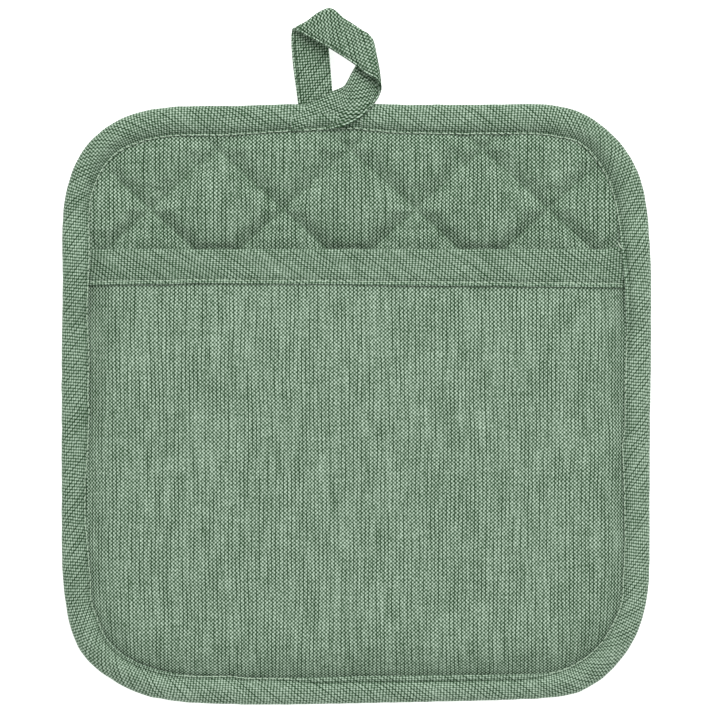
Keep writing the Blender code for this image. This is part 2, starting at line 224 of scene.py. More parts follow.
def ladder(rows, columns, closed=False):
    """Quads between neighbouring points of a grid that is numbered row by row."""
    across = np.arange(columns if closed else columns - 1)
    up = np.arange(rows - 1)
    first = (up[:, None] * columns + across[None, :]).ravel()
    beside = (up[:, None] * columns + (across[None, :] + 1) % columns).ravel()
    return np.column_stack((first, beside, beside + columns, first + columns))


# %% [markdown]
# ## Camera
# The photograph looks straight down on the face with a long lens, and 713 of
# its pixels cover 256.7 mm at the height of the cloth. A far camera with a
# narrow view keeps the sides as parallel as they are there.

# %% Camera straight above
SENSOR = 36.0
CAMERA_HEIGHT = 2.0
CAMERA_ASIDE = (0.0001, -0.0002)
VIEW_WIDTH = 0.2567
CLOTH_HEIGHT = 0.007

camera_data = bpy.data.cameras.new("camera")
camera_data.sensor_width = SENSOR
camera_data.lens = SENSOR * (CAMERA_HEIGHT - CLOTH_HEIGHT) / VIEW_WIDTH
camera_data.clip_start = 0.1
camera_data.clip_end = 10.0
camera = put_in_scene("camera", camera_data)
camera.location = (*CAMERA_ASIDE, CAMERA_HEIGHT)
bpy.context.scene.camera = camera
print(f"lens {camera_data.lens:.0f} mm")

# %% [markdown]
# ## Light and floor
# The light comes from all round with more of it from beyond the loop, so a fold
# is pale on its far side and dark on its near side. One large soft lamp and a
# pale sky do that. The floor is white and glows a little, as a lit table does
# in a catalogue picture, so that shadows on it stay faint.

# %% Lamp, sky and floor
LAMP_SIZE = 0.9
LAMP_PLACE = Vector((0.16, 0.95, 1.25))
LAMP_POWER = 17.1
SKY = 0.62
FLOOR_REACH = 3.0
FLOOR_DROP = 0.0001         # so that the floor and the pad never share a plane
WHITE = (1.0, 1.0, 1.0, 1.0)

lamp_data = bpy.data.lights.new("window", "AREA")
lamp_data.shape = "DISK"
lamp_data.size = LAMP_SIZE
lamp_data.energy = LAMP_POWER
lamp = put_in_scene("window", lamp_data)
lamp.location = LAMP_PLACE
lamp.rotation_euler = (-LAMP_PLACE).to_track_quat("-Z", "Y").to_euler()


def feed(tree, made, values):
    """Link inputs of a node to sockets, or give them plain values."""
    for name, value in values.items():
        if isinstance(value, bpy.types.NodeSocket):
            tree.links.new(value, made.inputs[name])
        else:
            made.inputs[name].default_value = value


def new_material(name, values):
    """A material with values on its shader; its tree and shader come back with it."""
    material = bpy.data.materials.new(name)
    material.use_nodes = True
    tree = material.node_tree
    shader = tree.nodes["Principled BSDF"]
    feed(tree, shader, values)
    return material, tree, shader


def make_floor():
    """A wide white sheet with a faint glow."""
    paper = new_material("white_table", {"Base Color": (0.9, 0.9, 0.9, 1.0), "Roughness": 0.9,
                                         "Emission Color": WHITE, "Emission Strength": 0.7})[0]
    mesh = bpy.data.meshes.new("floor")
    corners = [(-1, -1, 0), (1, -1, 0), (1, 1, 0), (-1, 1, 0)]
    mesh.from_pydata([(x * FLOOR_REACH, y * FLOOR_REACH, z) for x, y, z in corners], [], [(0, 1, 2, 3)])
    mesh.materials.append(paper)
    floor = put_in_scene("floor", mesh)
    floor.location.z = -FLOOR_DROP


world = bpy.data.worlds.new("sky")
world.use_nodes = True
feed(world.node_tree, world.node_tree.nodes["Background"], {"Color": WHITE, "Strength": SKY})
bpy.context.scene.world = world
bpy.context.scene.view_settings.view_transform = "Standard"
make_floor()

# %% [markdown]
# ## Chambray
# One node group draws the weave for every piece. It takes the yarn counts and
# puts out a colour and a height. Two cosines give the plain weave: where they
# have the same sign the pale weft lies on top, elsewhere the green warp does.
# The warp yarns stand in pairs, with painted shade in the slit between the pairs,
# and each yarn is darker or paler along its length, which gives the heathered
# streaks.
# Where a piece carries its own tone and painted shade at its points, its cloth
# is paler or darker there.

# %% Small helpers for node trees
def node(tree, kind, values=None, **settings):
    """Add a shader node, make its own settings and feed its inputs."""
    made = tree.nodes.new(kind)
    for name, value in settings.items():
        setattr(made, name, value)
    feed(tree, made, values or {})
    return made


def calc(tree, operation, *values):
    """A Math node on sockets or numbers."""
    return node(tree, "ShaderNodeMath", dict(enumerate(values)), operation=operation).outputs[0]


def times(tree, first, second):
    """The product of two sockets or numbers."""
    return calc(tree, "MULTIPLY", first, second)


def spread(tree, value, low, high, out_low=0.0, out_high=1.0):
    """A soft step of a value between two limits."""
    values = {"Value": value, "From Min": low, "From Max": high, "To Min": out_low, "To Max": out_high}
    return node(tree, "ShaderNodeMapRange", values, interpolation_type="SMOOTHSTEP").outputs["Result"]


def mixed(tree, share, first, second, how="MIX"):
    """Two colours mixed by a share."""
    values = {0: share, 6: first, 7: second}
    return node(tree, "ShaderNodeMix", values, data_type="RGBA", blend_type=how).outputs[2]


def flecks(tree, x, y, pace, detail):
    """Noise between 0 and 1 over two sockets, with its pace along each of them."""
    place = node(tree, "ShaderNodeCombineXYZ", {0: times(tree, x, pace[0]), 1: times(tree, y, pace[1])})
    values = {"Scale": 1.0, "Detail": detail, "Vector": place.outputs[0]}
    return node(tree, "ShaderNodeTexNoise", values, noise_dimensions="2D").outputs["Fac"]


def around_zero(tree, tone, strength):
    """A noise between 0 and 1, moved to lie round zero and scaled."""
    return times(tree, calc(tree, "SUBTRACT", tone, 0.5), strength)


# %% The weave group
PI = math.pi
# the colour that darkens the slits between warp pairs, as painted shade
SLIT_SHADE_TINT = (0.125, 0.20, 0.13, 1.0)


def weave_group():
    """Yarn counts in; the colour and height of a heathered plain weave out."""
    tree = bpy.data.node_groups.new("chambray_weave", "ShaderNodeTree")
    sockets = {"Yarns": "Vector", "Warp Color": "Color", "Weft Color": "Color",
               "Slit Shade": "Float", "Contrast": "Float", "Cover": "Float", "Ribs": "Float"}
    for name, kind in sockets.items():
        tree.interface.new_socket(name, in_out="INPUT", socket_type="NodeSocket" + kind)
    for name, kind in (("Color", "Color"), ("Height", "Float")):
        tree.interface.new_socket(name, in_out="OUTPUT", socket_type="NodeSocket" + kind)
    given = node(tree, "NodeGroupInput").outputs
    split = node(tree, "ShaderNodeSeparateXYZ", {0: given["Yarns"]})

    # the yarns wander a little from a true grid
    warp, weft = split.outputs[0], split.outputs[1]
    drift_a = flecks(tree, warp, weft, (0.11, 0.06), 1.0)
    drift_b = flecks(tree, weft, warp, (0.10, 0.07), 1.0)
    warp = calc(tree, "ADD", warp, around_zero(tree, drift_a, 0.7))
    weft = calc(tree, "ADD", weft, around_zero(tree, drift_b, 0.7))

    # which yarn is on top; in pulled bias cloth the pale floats crowd into ribs
    over_warp = calc(tree, "COSINE", times(tree, warp, PI))
    over_weft = calc(tree, "COSINE", times(tree, weft, PI))
    plain = times(tree, over_warp, over_weft)
    rib = calc(tree, "COSINE", times(tree, calc(tree, "ADD", warp, weft), PI))
    ribbed = times(tree, calc(tree, "SUBTRACT", rib, plain), given["Ribs"])
    crossing = calc(tree, "ADD", plain, ribbed)

    # every yarn has its own tone along its length, and so has every crossing
    yarn = calc(tree, "ROUND", warp)
    pick = calc(tree, "ROUND", weft)
    pair = calc(tree, "FLOOR", times(tree, calc(tree, "ADD", warp, 0.5), 0.5))
    yarn_tone = flecks(tree, yarn, weft, (1.73, 0.05), 2.0)
    pair_tone = flecks(tree, pair, weft, (2.31, 0.035), 2.0)
    pick_tone = flecks(tree, warp, pick, (0.07, 1.91), 1.0)
    own_tone = flecks(tree, warp, weft, (0.83, 0.83), 0.0)
    cloud = flecks(tree, warp, weft, (0.075, 0.035), 3.0)

    # the pale part of each crossing shrinks where the warp is thick and dark
    lean = given["Cover"]
    for tone, strength in ((yarn_tone, 0.8), (pick_tone, 0.45), (own_tone, 0.8), (cloud, 0.26)):
        lean = calc(tree, "ADD", lean, around_zero(tree, tone, strength))
    level = calc(tree, "SUBTRACT", crossing, lean)
    pale = spread(tree, level, times(tree, given["Contrast"], -1.0), given["Contrast"])
    colour = mixed(tree, pale, given["Warp Color"], given["Weft Color"])

    # painted shade in the slit between two pairs of warp yarns
    slit = calc(tree, "SINE", times(tree, warp, PI))
    slit = calc(tree, "POWER", calc(tree, "MAXIMUM", slit, 0.0), 2.0)
    depth = spread(tree, pair_tone, 0.32, 0.62, 0.48, 1.1)
    shade = times(tree, times(tree, slit, depth), given["Slit Shade"])
    dark = mixed(tree, 1.0, colour, SLIT_SHADE_TINT, "MULTIPLY")
    colour = mixed(tree, shade, colour, dark)

    dome = calc(tree, "SQRT", calc(tree, "ABSOLUTE", crossing))
    height = calc(tree, "SUBTRACT", dome, times(tree, shade, 0.8))
    node(tree, "NodeGroupOutput", {"Color": colour, "Height": height})
    return tree


WEAVE = weave_group()

# %% Chambray for one piece
WARP_GREEN = (0.034, 0.088, 0.037, 1.0)
WEFT_PALE = (0.64, 0.81, 0.65, 1.0)
WEAVE_RELIEF = 0.00010
COTTON = {"Roughness": 0.88, "Specular IOR Level": 0.08, "Sheen Weight": 0.03, "Sheen Roughness": 0.5}


def chambray(name, slit_shade, contrast, cover, ribs=0.0):
    """The weave with one piece's own strengths, and the tone and painted shade of its points."""
    material, tree, shader = new_material(name, COTTON)
    counts = node(tree, "ShaderNodeUVMap", uv_map="yarns")
    tone_and_shade = node(tree, "ShaderNodeAttribute", attribute_name="tone_and_shade")
    values = {"Yarns": counts.outputs["UV"], "Warp Color": WARP_GREEN, "Weft Color": WEFT_PALE,
              "Slit Shade": slit_shade, "Contrast": contrast, "Ribs": ribs,
              "Cover": calc(tree, "SUBTRACT", cover, tone_and_shade.outputs["Fac"])}
    weave = node(tree, "ShaderNodeGroup", node_tree=WEAVE)
    feed(tree, weave, values)
    values = {"Strength": 0.6, "Distance": WEAVE_RELIEF, "Height": weave.outputs["Height"]}
    bump = node(tree, "ShaderNodeBump", values)
    feed(tree, shader, {"Base Color": weave.outputs["Color"], "Normal": bump.outputs["Normal"]})
    return material


# the second value of each: how much painted shade darkens the slits between warp pairs
panel_cloth = chambray("panel_chambray", slit_shade=1.0, contrast=1.10, cover=0.25)
quilt_cloth = chambray("quilted_chambray", slit_shade=1.05, contrast=1.05, cover=0.35)
bias_cloth = chambray("bias_chambray", slit_shade=0.95, contrast=1.35, cover=0.44, ribs=0.15)
loop_cloth = chambray("loop_chambray", slit_shade=1.1, contrast=1.10, cover=0.44)
print("weave group has", len(WEAVE.nodes), "nodes")

# %% [markdown]
# ## Heights of the layers
# Each layer has a height over the plan, as in the part's source: the quilted
# face with its diamonds, and the pocket panel, which is held down by the
# binding and stands open at its mouth. Over the pocket the binding lies higher.

# %% Heights of the layers
HEM_INSET = 9.7
MOUTH_Y = 55.7
PANEL_TOP_Y = 53.7
BAND_WIDTH = 13.6
POCKET_LIFT = 1.65
BAND_LIFT = 1.80
LIFT_FADE = 14.0
LIFT_MARGIN = 3.0
PAD_EDGE_INSET = 2.6
DIAMOND_WIDTH = 47.8
DIAMOND_HEIGHT = 43.6
DIAMOND_X = -2.4
DIAMOND_Y = 4.7
PANEL_LEVEL = 5.85          # where it lies on the pad, beside the hem
PANEL_RISE = 3.4            # what its slope beside the hem lifts it
PANEL_SLOPE = 12.0
POCKET_RISE = 5.8           # what the middle of the mouth stands up more
POCKET_HALF = 98.0
POCKET_FOOT_Y = -85.0

# pairs of millimetres round the outline from the top, clockwise, and millimetres across
HEM_WIDTH = (
    (0, 10.5), (13, 10.6), (23, 9.7), (38, 10.5), (63, 10.8), (75, 10.9), (91, 9.3), (107, 8.7),
    (129, 9.3), (143, 9.4), (148, 10.3), (158, 9.8), (180, 9.3), (197, 9.7), (206, 8.9), (218, 9.4),
    (240, 9.8), (256, 9.2), (290, 9.4), (330, 9.5), (343, 9.2), (367, 9.5), (373, 10.2), (389, 9.4),
    (420, 9.8), (441, 10.2), (449, 9.5), (458, 10.2), (466, 9.7), (482, 8.5), (494, 8.5),
    (502, 9.2), (519, 10.0), (526, 9.5), (536, 10.0), (553, 9.2), (578, 10.2), (596, 9.0),
    (620, 9.2), (636, 10.0), (669, 10.6), (689, 9.3), (706, 8.5), (716, 8.4), (722, 9.0),
    (732, 10.0), (756, 10.6),
)


def read_round(table, run):
    """A width that changes round the outline, read from one of the lists."""
    places, widths = np.array(table).T
    return np.interp(run, places, widths, period=OUTLINE_LENGTH)


def over_pocket(y):
    """1 where the pocket panel lies under the binding, 0 above the mouth."""
    return 1.0 - ease(y, MOUTH_Y, MOUTH_Y + LIFT_FADE)


def at_band(y):
    """1 where the ends of the band lie under the binding."""
    band_foot = MOUTH_Y - BAND_WIDTH - LIFT_MARGIN
    return ease(y, band_foot - LIFT_FADE, band_foot) * over_pocket(y)


def panel_height(x, y, inset):
    """Height of the pocket panel's underside."""
    part = np.clip((inset - HEM_INSET) / PANEL_SLOPE, 0.0, 1.0)
    rise = 1.0 - (1.0 - part) ** 2
    across = 1.0 - np.clip(np.abs(x) / POCKET_HALF, 0.0, 1.0) ** 3
    return PANEL_LEVEL + (PANEL_RISE + POCKET_RISE * across * ease(y, POCKET_FOOT_Y, MOUTH_Y)) * rise


# %% [markdown]
# ## Quilted back
# Two plies of chambray with wadding between them are stitched through along
# diamonds. The wadding pushes the plies out between the stitches, and the spare
# cloth gathers into small puckers beside the stitching. Height formulas give
# clean pillows but no puckers, so both plies are settled by Blender's cloth:
# every stitch is pinned, the cloth is a little larger than its space, and a
# pressure stands for the wadding. Afterwards no point may lie far from the
# height that the layer should have. The mesh has an edge along every line of
# stitches, and the shading breaks there, so the lines stay crisp.

# %% Plan of the quilting
RIM_POINTS = 360
RIM_RINGS = (3.6, 5.0, 6.6, 8.2)
LATTICE_INSET = 9.4
FACE_STEPS = 26
BACK_STEPS = 10
DIAMONDS_OUT = 8
CHANNEL_TOP = 4.3
CHANNEL_REACH = 9.0
CROWN_TOP = 6.4
CHANNEL_BOTTOM = 2.4
EDGE_TOP = 5.3
EDGE_BOTTOM = 2.1
RIM_TOP = 3.7
RIM_BOTTOM = 2.9
RIM_SLOPE_END = 6.0         # from here inwards the rim is level
RIM_BLEND = (9.0, 16.0)     # here the rim's heights give way to the pillows
HELD_INSET = 8.5            # the binding holds down what lies further out
SIDE_STEEPNESS = 3.8
ON_LINE = 1e-4
TABLE_CLEAR = 0.05


def stitch_counts(x, y):
    """Two counts that are whole numbers on the two families of stitch lines."""
    across = (x - DIAMOND_X) / DIAMOND_WIDTH
    along = (y - DIAMOND_Y) / DIAMOND_HEIGHT
    return across + along, across - along


def off_line(count):
    """How far a count is from the nearest line of stitches."""
    return np.abs(count - np.round(count))


def fill_with_triangles(border, loose):
    """Flat points and triangles inside a closed border, with loose points in it."""
    edges = [(index, (index + 1) % len(border)) for index in range(len(border))]
    points = [Vector(point) for point in np.vstack((border, *loose))]
    plan, _, faces, _, _, _ = delaunay_2d_cdt(points, edges, [], 1, 1e-5)
    return np.array(plan), faces


def quilt_plan(steps):
    """Flat points and triangles of one ply, with points on every stitch line."""
    reach = np.arange(-DIAMONDS_OUT * steps, DIAMONDS_OUT * steps + 1)
    first, second = np.meshgrid(reach, reach)
    x = DIAMOND_X + (first + second).ravel() * DIAMOND_WIDTH / (2 * steps)
    y = DIAMOND_Y + (first - second).ravel() * DIAMOND_HEIGHT / (2 * steps)
    rings = [inset_loop(inset, RIM_POINTS) for inset in RIM_RINGS]
    border = inset_loop(PAD_EDGE_INSET, RIM_POINTS)
    return fill_with_triangles(border, (*rings, deeper_than(LATTICE_INSET, x, y)))


def pinned_by_stitches(plan, steps, inset):
    """True for points that a stitch or the binding holds down."""
    held = inset < HELD_INSET
    first, second = stitch_counts(*plan.T)
    for count, other in ((first, second), (second, first)):
        hole = np.round(other * steps).astype(int) % 2 == 0
        held |= (off_line(count) < ON_LINE) & hole
    return held


def puff(x, y):
    """0 on a stitch line, 1 in the middle of a diamond, with steep sides and a flat top."""
    spacing = DIAMOND_WIDTH * DIAMOND_HEIGHT / np.hypot(DIAMOND_WIDTH, DIAMOND_HEIGHT)
    result = 1.0
    for count in stitch_counts(x, y):
        away = np.clip(off_line(count) * spacing / CHANNEL_REACH, 0.0, 1.0)
        side = 1.0 - (1.0 - away) ** SIDE_STEEPNESS
        result = 0.35 * result * side + 0.65 * np.minimum(result, side)
    return result


# %% Settling a ply with cloth simulation
SIM_SCALE = 0.01            # the solver is steadier on a pot holder ten times its size
SIM_FRAMES = 22
COTTON_PLY = {"quality": 5, "mass": 0.3, "tension_stiffness": 15.0, "compression_stiffness": 15.0,
              "shear_stiffness": 5.0, "bending_stiffness": 0.35, "use_pressure": True}


def settle(points, faces, held, pressure, growth):
    """Let a pinned ply swell, and return its new points in millimetres."""
    mesh = bpy.data.meshes.new("settling")
    mesh.from_pydata((points * SIM_SCALE).tolist(), [], [tuple(face) for face in faces])
    ply = put_in_scene("settling", mesh)
    stitched = ply.vertex_groups.new(name="stitched")
    stitched.add([int(index) for index in np.nonzero(held)[0]], 1.0, "REPLACE")
    cloth = ply.modifiers.new("cloth", "CLOTH")
    for name, value in COTTON_PLY.items():
        setattr(cloth.settings, name, value)
    cloth.settings.uniform_pressure_force = pressure
    cloth.settings.shrink_min = -growth
    cloth.settings.vertex_group_mass = "stitched"
    cloth.settings.effector_weights.gravity = 0.0
    cloth.collision_settings.use_collision = False
    scene = bpy.context.scene
    for step in range(1, SIM_FRAMES + 1):
        scene.frame_set(step)
    shown = ply.evaluated_get(bpy.context.evaluated_depsgraph_get())
    result = np.zeros(len(mesh.vertices) * 3)
    shown.data.vertices.foreach_get("co", result)
    scene.frame_set(1)
    bpy.data.objects.remove(ply)
    return result.reshape(-1, 3) / SIM_SCALE


# %% Face ply and back ply
def with_rim(middle, inset, rim_height, edge_height):
    """Heights of a ply: the given ones in the middle, the rim's own beside the binding."""
    rim = rim_height + (edge_height - rim_height) * ease(inset, PAD_EDGE_INSET, RIM_SLOPE_END)
    inside = ease(inset, *RIM_BLEND)
    return rim * (1.0 - inside) + middle * inside


def swell(plan, faces, steps, start, pressure, growth):
    points = np.column_stack((plan, start))
    held = pinned_by_stitches(plan, steps, edge_of(*plan.T)[0])
    return settle(points, faces, held, pressure, growth)


def make_face_ply():
    """The ply with the raised diamonds."""
    plan, faces = quilt_plan(FACE_STEPS)
    inset = edge_of(*plan.T)[0]
    crown = CHANNEL_TOP + (CROWN_TOP - CHANNEL_TOP) * puff(*plan.T)
    levels = (CHANNEL_TOP + 0.6 * (crown - CHANNEL_TOP), CHANNEL_TOP - 0.2, crown + 0.4)
    start, floor, limit = [with_rim(level, inset, RIM_TOP, EDGE_TOP) for level in levels]
    points = swell(plan, faces, FACE_STEPS, start, pressure=7.0, growth=0.045)
    print("face ply crowns reach", round(points[:, 2].max(), 2), "mm before they are pressed")
    points[:, 2] = np.clip(points[:, 2], floor, limit)
    print("face ply crowns reach", round(points[:, 2].max(), 2), "mm")
    return plan, points, faces


def make_back_ply():
    """The ply that lies on the table, with its crowns pressed flat."""
    plan, faces = quilt_plan(BACK_STEPS)
    inset = edge_of(*plan.T)[0]
    crown = CHANNEL_BOTTOM * (1.0 - puff(*plan.T))
    start = with_rim(CHANNEL_BOTTOM + 0.7 * (crown - CHANNEL_BOTTOM), inset, RIM_BOTTOM, EDGE_BOTTOM)
    faces = [face[::-1] for face in faces]
    points = swell(plan, faces, BACK_STEPS, start, pressure=4.0, growth=0.03)
    points[:, 2] = np.maximum(points[:, 2], TABLE_CLEAR)
    return plan, points, faces


# %% Both plies as one piece
def make_quilted_back():
    """Both plies, closed at the rim."""
    face_plan, face_points, face_faces = make_face_ply()
    back_plan, back_points, back_faces = make_back_ply()
    offset = len(face_points)
    faces = [tuple(face) for face in face_faces]
    faces += [tuple(offset + corner for corner in face) for face in back_faces]
    for index in range(RIM_POINTS):
        beside = (index + 1) % RIM_POINTS
        faces.append((index, beside, offset + beside, offset + index))
    plan = np.vstack((face_plan, back_plan))
    yarns = straight_yarns(*plan.T)
    points = np.vstack((face_points, back_points))
    return make_piece("quilted_back_cloth", points, faces, yarns, quilt_cloth), plan


def crease_the_channels(piece, plan):
    """Let the shading break at every line of stitches, as cloth does when thread pulls it in."""
    ends = np.zeros(2 * len(piece.data.edges), dtype=int)
    piece.data.edges.foreach_get("vertices", ends)
    here, there = ends.reshape(-1, 2).T
    creased = np.zeros(len(here), dtype=bool)
    for count in stitch_counts(*plan.T):
        line = np.where(off_line(count) < ON_LINE, np.round(count), np.nan)
        creased |= line[here] == line[there]
    piece.data.attributes.new("sharp_edge", "BOOLEAN", "EDGE").data.foreach_set("value", creased)
    print(creased.sum(), "edges of the quilted back are creased")


quilted_back, quilted_plan = make_quilted_back()
crease_the_channels(quilted_back, quilted_plan)

# %% [markdown]
# ## Thread
# Lock stitches lie end to end on the cloth and dive into it between them. Each
# is a short bent tube, laid along a path with its own up direction. Hundreds of
# them are one joined mesh, so that a whole seam stays one piece. Pale thread
# sews the hems. The thread on the diamonds and the loop sinks into the cloth, so
# it is thin and coloured dark green as painted shade.

# %% Thread material and a row of stitches
THREAD_RADIUS = 0.19
THREAD_SIDES = 6
THREAD_TWIST = 9.0
STITCH_RISE = (-0.22, 0.10, 0.17, 0.10, -0.22)


def thread_material(name, dark, pale):
    """Twisted cotton in two tones."""
    material, tree, shader = new_material(name, {"Roughness": 0.7, "Specular IOR Level": 0.25})
    counts = node(tree, "ShaderNodeUVMap", uv_map="yarns")
    split = node(tree, "ShaderNodeSeparateXYZ", {0: counts.outputs["UV"]})
    turn = calc(tree, "ADD", times(tree, split.outputs[0], THREAD_TWIST), split.outputs[1])
    share = spread(tree, calc(tree, "SINE", turn), -0.9, 0.6)
    feed(tree, shader, {"Base Color": mixed(tree, share, dark, pale)})
    return material


pale_thread = thread_material("pale_thread", (0.34, 0.46, 0.34, 1.0), (0.60, 0.74, 0.58, 1.0))
# painted shade: a thin dark green thread where stitches sink into the cloth and only their shade shows
thread_in_painted_shade = thread_material("thread_in_painted_shade", (0.09, 0.16, 0.09, 1.0), (0.22, 0.32, 0.22, 1.0))


def unit(vectors):
    """Vectors with length one."""
    return vectors / np.linalg.norm(vectors, axis=-1, keepdims=True)


def joined(parts):
    """One set of points, faces and counts from several sets."""
    points, faces, counts = zip(*parts)
    firsts = np.cumsum([0] + [len(each) for each in points])
    faces = [each + first for each, first in zip(faces, firsts)]
    return np.vstack(points), np.vstack(faces), np.vstack(counts)


def stitch_tubes(path, up, pitch, gap=0.35, radius=THREAD_RADIUS, slant=0.10):
    """Points, faces and twist counts of stitches laid along a path, each a little askew."""
    up = np.broadcast_to(up, path.shape)
    run = run_lengths(path)
    count = max(1, int(round(run[-1] / pitch)))
    length = run[-1] / count
    share = np.linspace(0.0, 1.0, len(STITCH_RISE))
    angle = np.linspace(0.0, 2 * np.pi, THREAD_SIDES, endpoint=False)
    tubes = []
    for index in range(count):
        marks = index * length + gap / 2 + share * (length - gap)
        middle = read_along(marks, run, path)
        upward = unit(read_along(marks, run, up))
        forward = unit(np.gradient(middle, axis=0))
        side = unit(np.cross(forward, upward))
        middle = middle + upward * np.array(STITCH_RISE)[:, None]
        middle = middle + side * (slant * (2.0 * share - 1.0))[:, None]
        ring = (side[:, None, :] * np.cos(angle)[None, :, None]
                + upward[:, None, :] * np.sin(angle)[None, :, None]) * radius
        points = (middle[:, None, :] + ring).reshape(-1, 3)
        twist = np.column_stack((np.repeat(marks, THREAD_SIDES), np.tile(angle, len(share))))
        tubes.append((points, ladder(len(share), THREAD_SIDES, closed=True), twist))
    return joined(tubes)


def make_stitches(name, rows, thread):
    """One piece of thread from several rows of stitches."""
    return make_piece(name, *joined(rows), thread)


# %% Quilting thread along the diamonds
QUILT_STITCH = 3.2
QUILT_SUNK = 0.10


def quilting_rows(surface, sign):
    """Stitches on every diamond line of one ply, laid on its settled surface."""
    tree = BVHTree.FromObject(surface, bpy.context.evaluated_depsgraph_get())
    rows = []
    steps = int(round(np.hypot(DIAMOND_WIDTH, DIAMOND_HEIGHT) / 2 / QUILT_STITCH))
    other = np.arange(-DIAMONDS_OUT * steps, DIAMONDS_OUT * steps + 1) / steps
    for family in (1, -1):
        for line in range(-DIAMONDS_OUT, DIAMONDS_OUT + 1):
            first = (line + other) / 2
            second = (line - other) / 2 * family
            x = DIAMOND_X + first * DIAMOND_WIDTH
            y = DIAMOND_Y + second * DIAMOND_HEIGHT
            run = deeper_than(HEM_INSET + 0.5, x, y)
            if len(run) < 3:
                continue
            run = resample(run, 4 * len(run), closed=False)
            path = []
            for px, py in run:
                start = Vector((px * MM, (py - FOOTPRINT_MIDDLE) * MM, sign * 0.05))
                hit = tree.ray_cast(start, Vector((0.0, 0.0, -sign)))[0]
                path.append((px, py, hit.z / MM - sign * QUILT_SUNK))
            up = (0.0, 0.0, float(sign))
            rows.append(stitch_tubes(np.array(path), up, QUILT_STITCH, gap=0.6, radius=0.13))
    return rows


quilting = quilting_rows(quilted_back, 1) + quilting_rows(quilted_back, -1)
quilting_thread = make_stitches("quilting_thread", quilting, thread_in_painted_shade)

# %% [markdown]
# ## Pocket panel
# One ply over the lower three quarters of the face. Its three lower edges are
# under the binding and it stands open at the mouth. A plan of points is filled
# with triangles, raised to its height, and given a thickness. The cloth runs
# down a slope near the binding, so its yarn counts run ahead of the plan there.
# It is pulled in along the hem, and painted shade makes its cloth a little darker
# near the edge.

# %% Pocket panel
PANEL_EDGE_INSET = 3.4
PANEL_CLOTH = 1.2
PANEL_PLY = 0.7
PANEL_RINGS = (3.4, 5.4, 7.2, 8.2, 8.7, 9.2, 9.6, 10.0, 10.4, 10.8, 11.3, 12.0, 13.0, 14.2, 15.6, 17.2,
               19.0, 21.0)
PANEL_LOOSE_INSET = 22.9
PANEL_RING_POINTS = 560
PANEL_SPACING = 1.6
PANEL_REACH = 100.0
MEAN_POCKET_RISE = 2.5
PANEL_TUCK = 0.45           # how deep and how wide the pull of the hem is
PANEL_TUCK_WIDTH = 0.5
# painted shade beside the binding, and the insets over which it fades out
PANEL_EDGE_SHADE = -0.07
PANEL_EDGE_SHADE_INSETS = (12.0, 32.0)


def panel_plan():
    """Flat points and triangles of the panel."""
    rings = []
    for inset in PANEL_RINGS:
        loop = inset_loop(inset, PANEL_RING_POINTS)
        below = loop[:, 1] < PANEL_TOP_Y
        start = int(np.argmax(below & ~np.roll(below, 1)))
        loop = np.roll(loop, -start, axis=0)
        rings.append(loop[loop[:, 1] < PANEL_TOP_Y - 0.6])
    right, left = rings[0][0, 0], rings[0][-1, 0]
    mouth_x = np.linspace(left, right, int((right - left) / PANEL_SPACING))
    mouth = np.column_stack((mouth_x, np.full(len(mouth_x), PANEL_TOP_Y)))
    boundary = np.vstack((rings[0], mouth))
    x, y = np.meshgrid(np.arange(-PANEL_REACH, PANEL_REACH, PANEL_SPACING),
                       np.arange(-PANEL_REACH, PANEL_TOP_Y - 1.0, PANEL_SPACING))
    return fill_with_triangles(boundary, (*rings[1:], deeper_than(PANEL_LOOSE_INSET, x, y)))


def slope_allowance(inset):
    """How much longer the cloth is than its plan, from a place near the edge to the middle."""
    places = np.linspace(0.0, 40.0, 401)
    part = np.clip((places - HEM_INSET) / PANEL_SLOPE, 0.0, 1.0)
    slope = 2.0 * (PANEL_RISE + MEAN_POCKET_RISE) * (1.0 - part) / PANEL_SLOPE * (places > HEM_INSET)
    spare = np.sqrt(1.0 + slope ** 2) - 1.0
    to_middle = (spare.sum() - np.cumsum(spare)) * (places[1] - places[0])
    return np.interp(inset, places, to_middle)


def make_pocket_panel():
    """The panel's face, with a soft unevenness."""
    plan, faces = panel_plan()
    x, y = plan.T
    inset, near = edge_of(x, y)
    z = panel_height(x, y, inset) + PANEL_CLOTH
    free = ease(inset, HEM_INSET, 24.0)
    z += 0.30 * free * wobble(x, y, 34.0, 2.1) + 0.10 * free * wobble(x, y, 11.0, 5.3)
    from_hem = inset - read_round(HEM_WIDTH, near * OUTLINE_STEP)
    below_band = 1.0 - ease(y, 36.0, 42.0)
    z -= PANEL_TUCK * bell(from_hem, 0.0, PANEL_TUCK_WIDTH) * below_band
    flat = plan - INWARD[near] * slope_allowance(inset)[:, None]
    flat[:, 0] += 0.45 * wobble(x, y, 31.0, 41.0)
    panel = make_piece("pocket_panel_cloth", np.column_stack((x, y, z)), faces,
                       straight_yarns(*flat.T), panel_cloth)
    # painted shade: the cloth is darker near the binding
    set_tone_and_shade(panel, PANEL_EDGE_SHADE * (1.0 - ease(inset, *PANEL_EDGE_SHADE_INSETS)))
    ply = panel.modifiers.new("ply", "SOLIDIFY")
    ply.thickness = PANEL_PLY * MM
    ply.offset = -1.0
    return panel


pocket_panel = make_pocket_panel()

# %% [markdown]
# ## Strips
# The band, the binding and the loop are one kind of strip, folded lengthways
# with its raw edges turned in. A section says how the strip is folded: how far
# in from an edge each point lies and how high. A smooth curve runs through the
# section, and the strip is swept along with it. Bias cloth that is pulled round
# an edge gets slanted drag lines, which follow its warp.

# %% Smooth sections and drag lines
SECTION_SPACING = 0.45
SEAM_STATION = 0.4


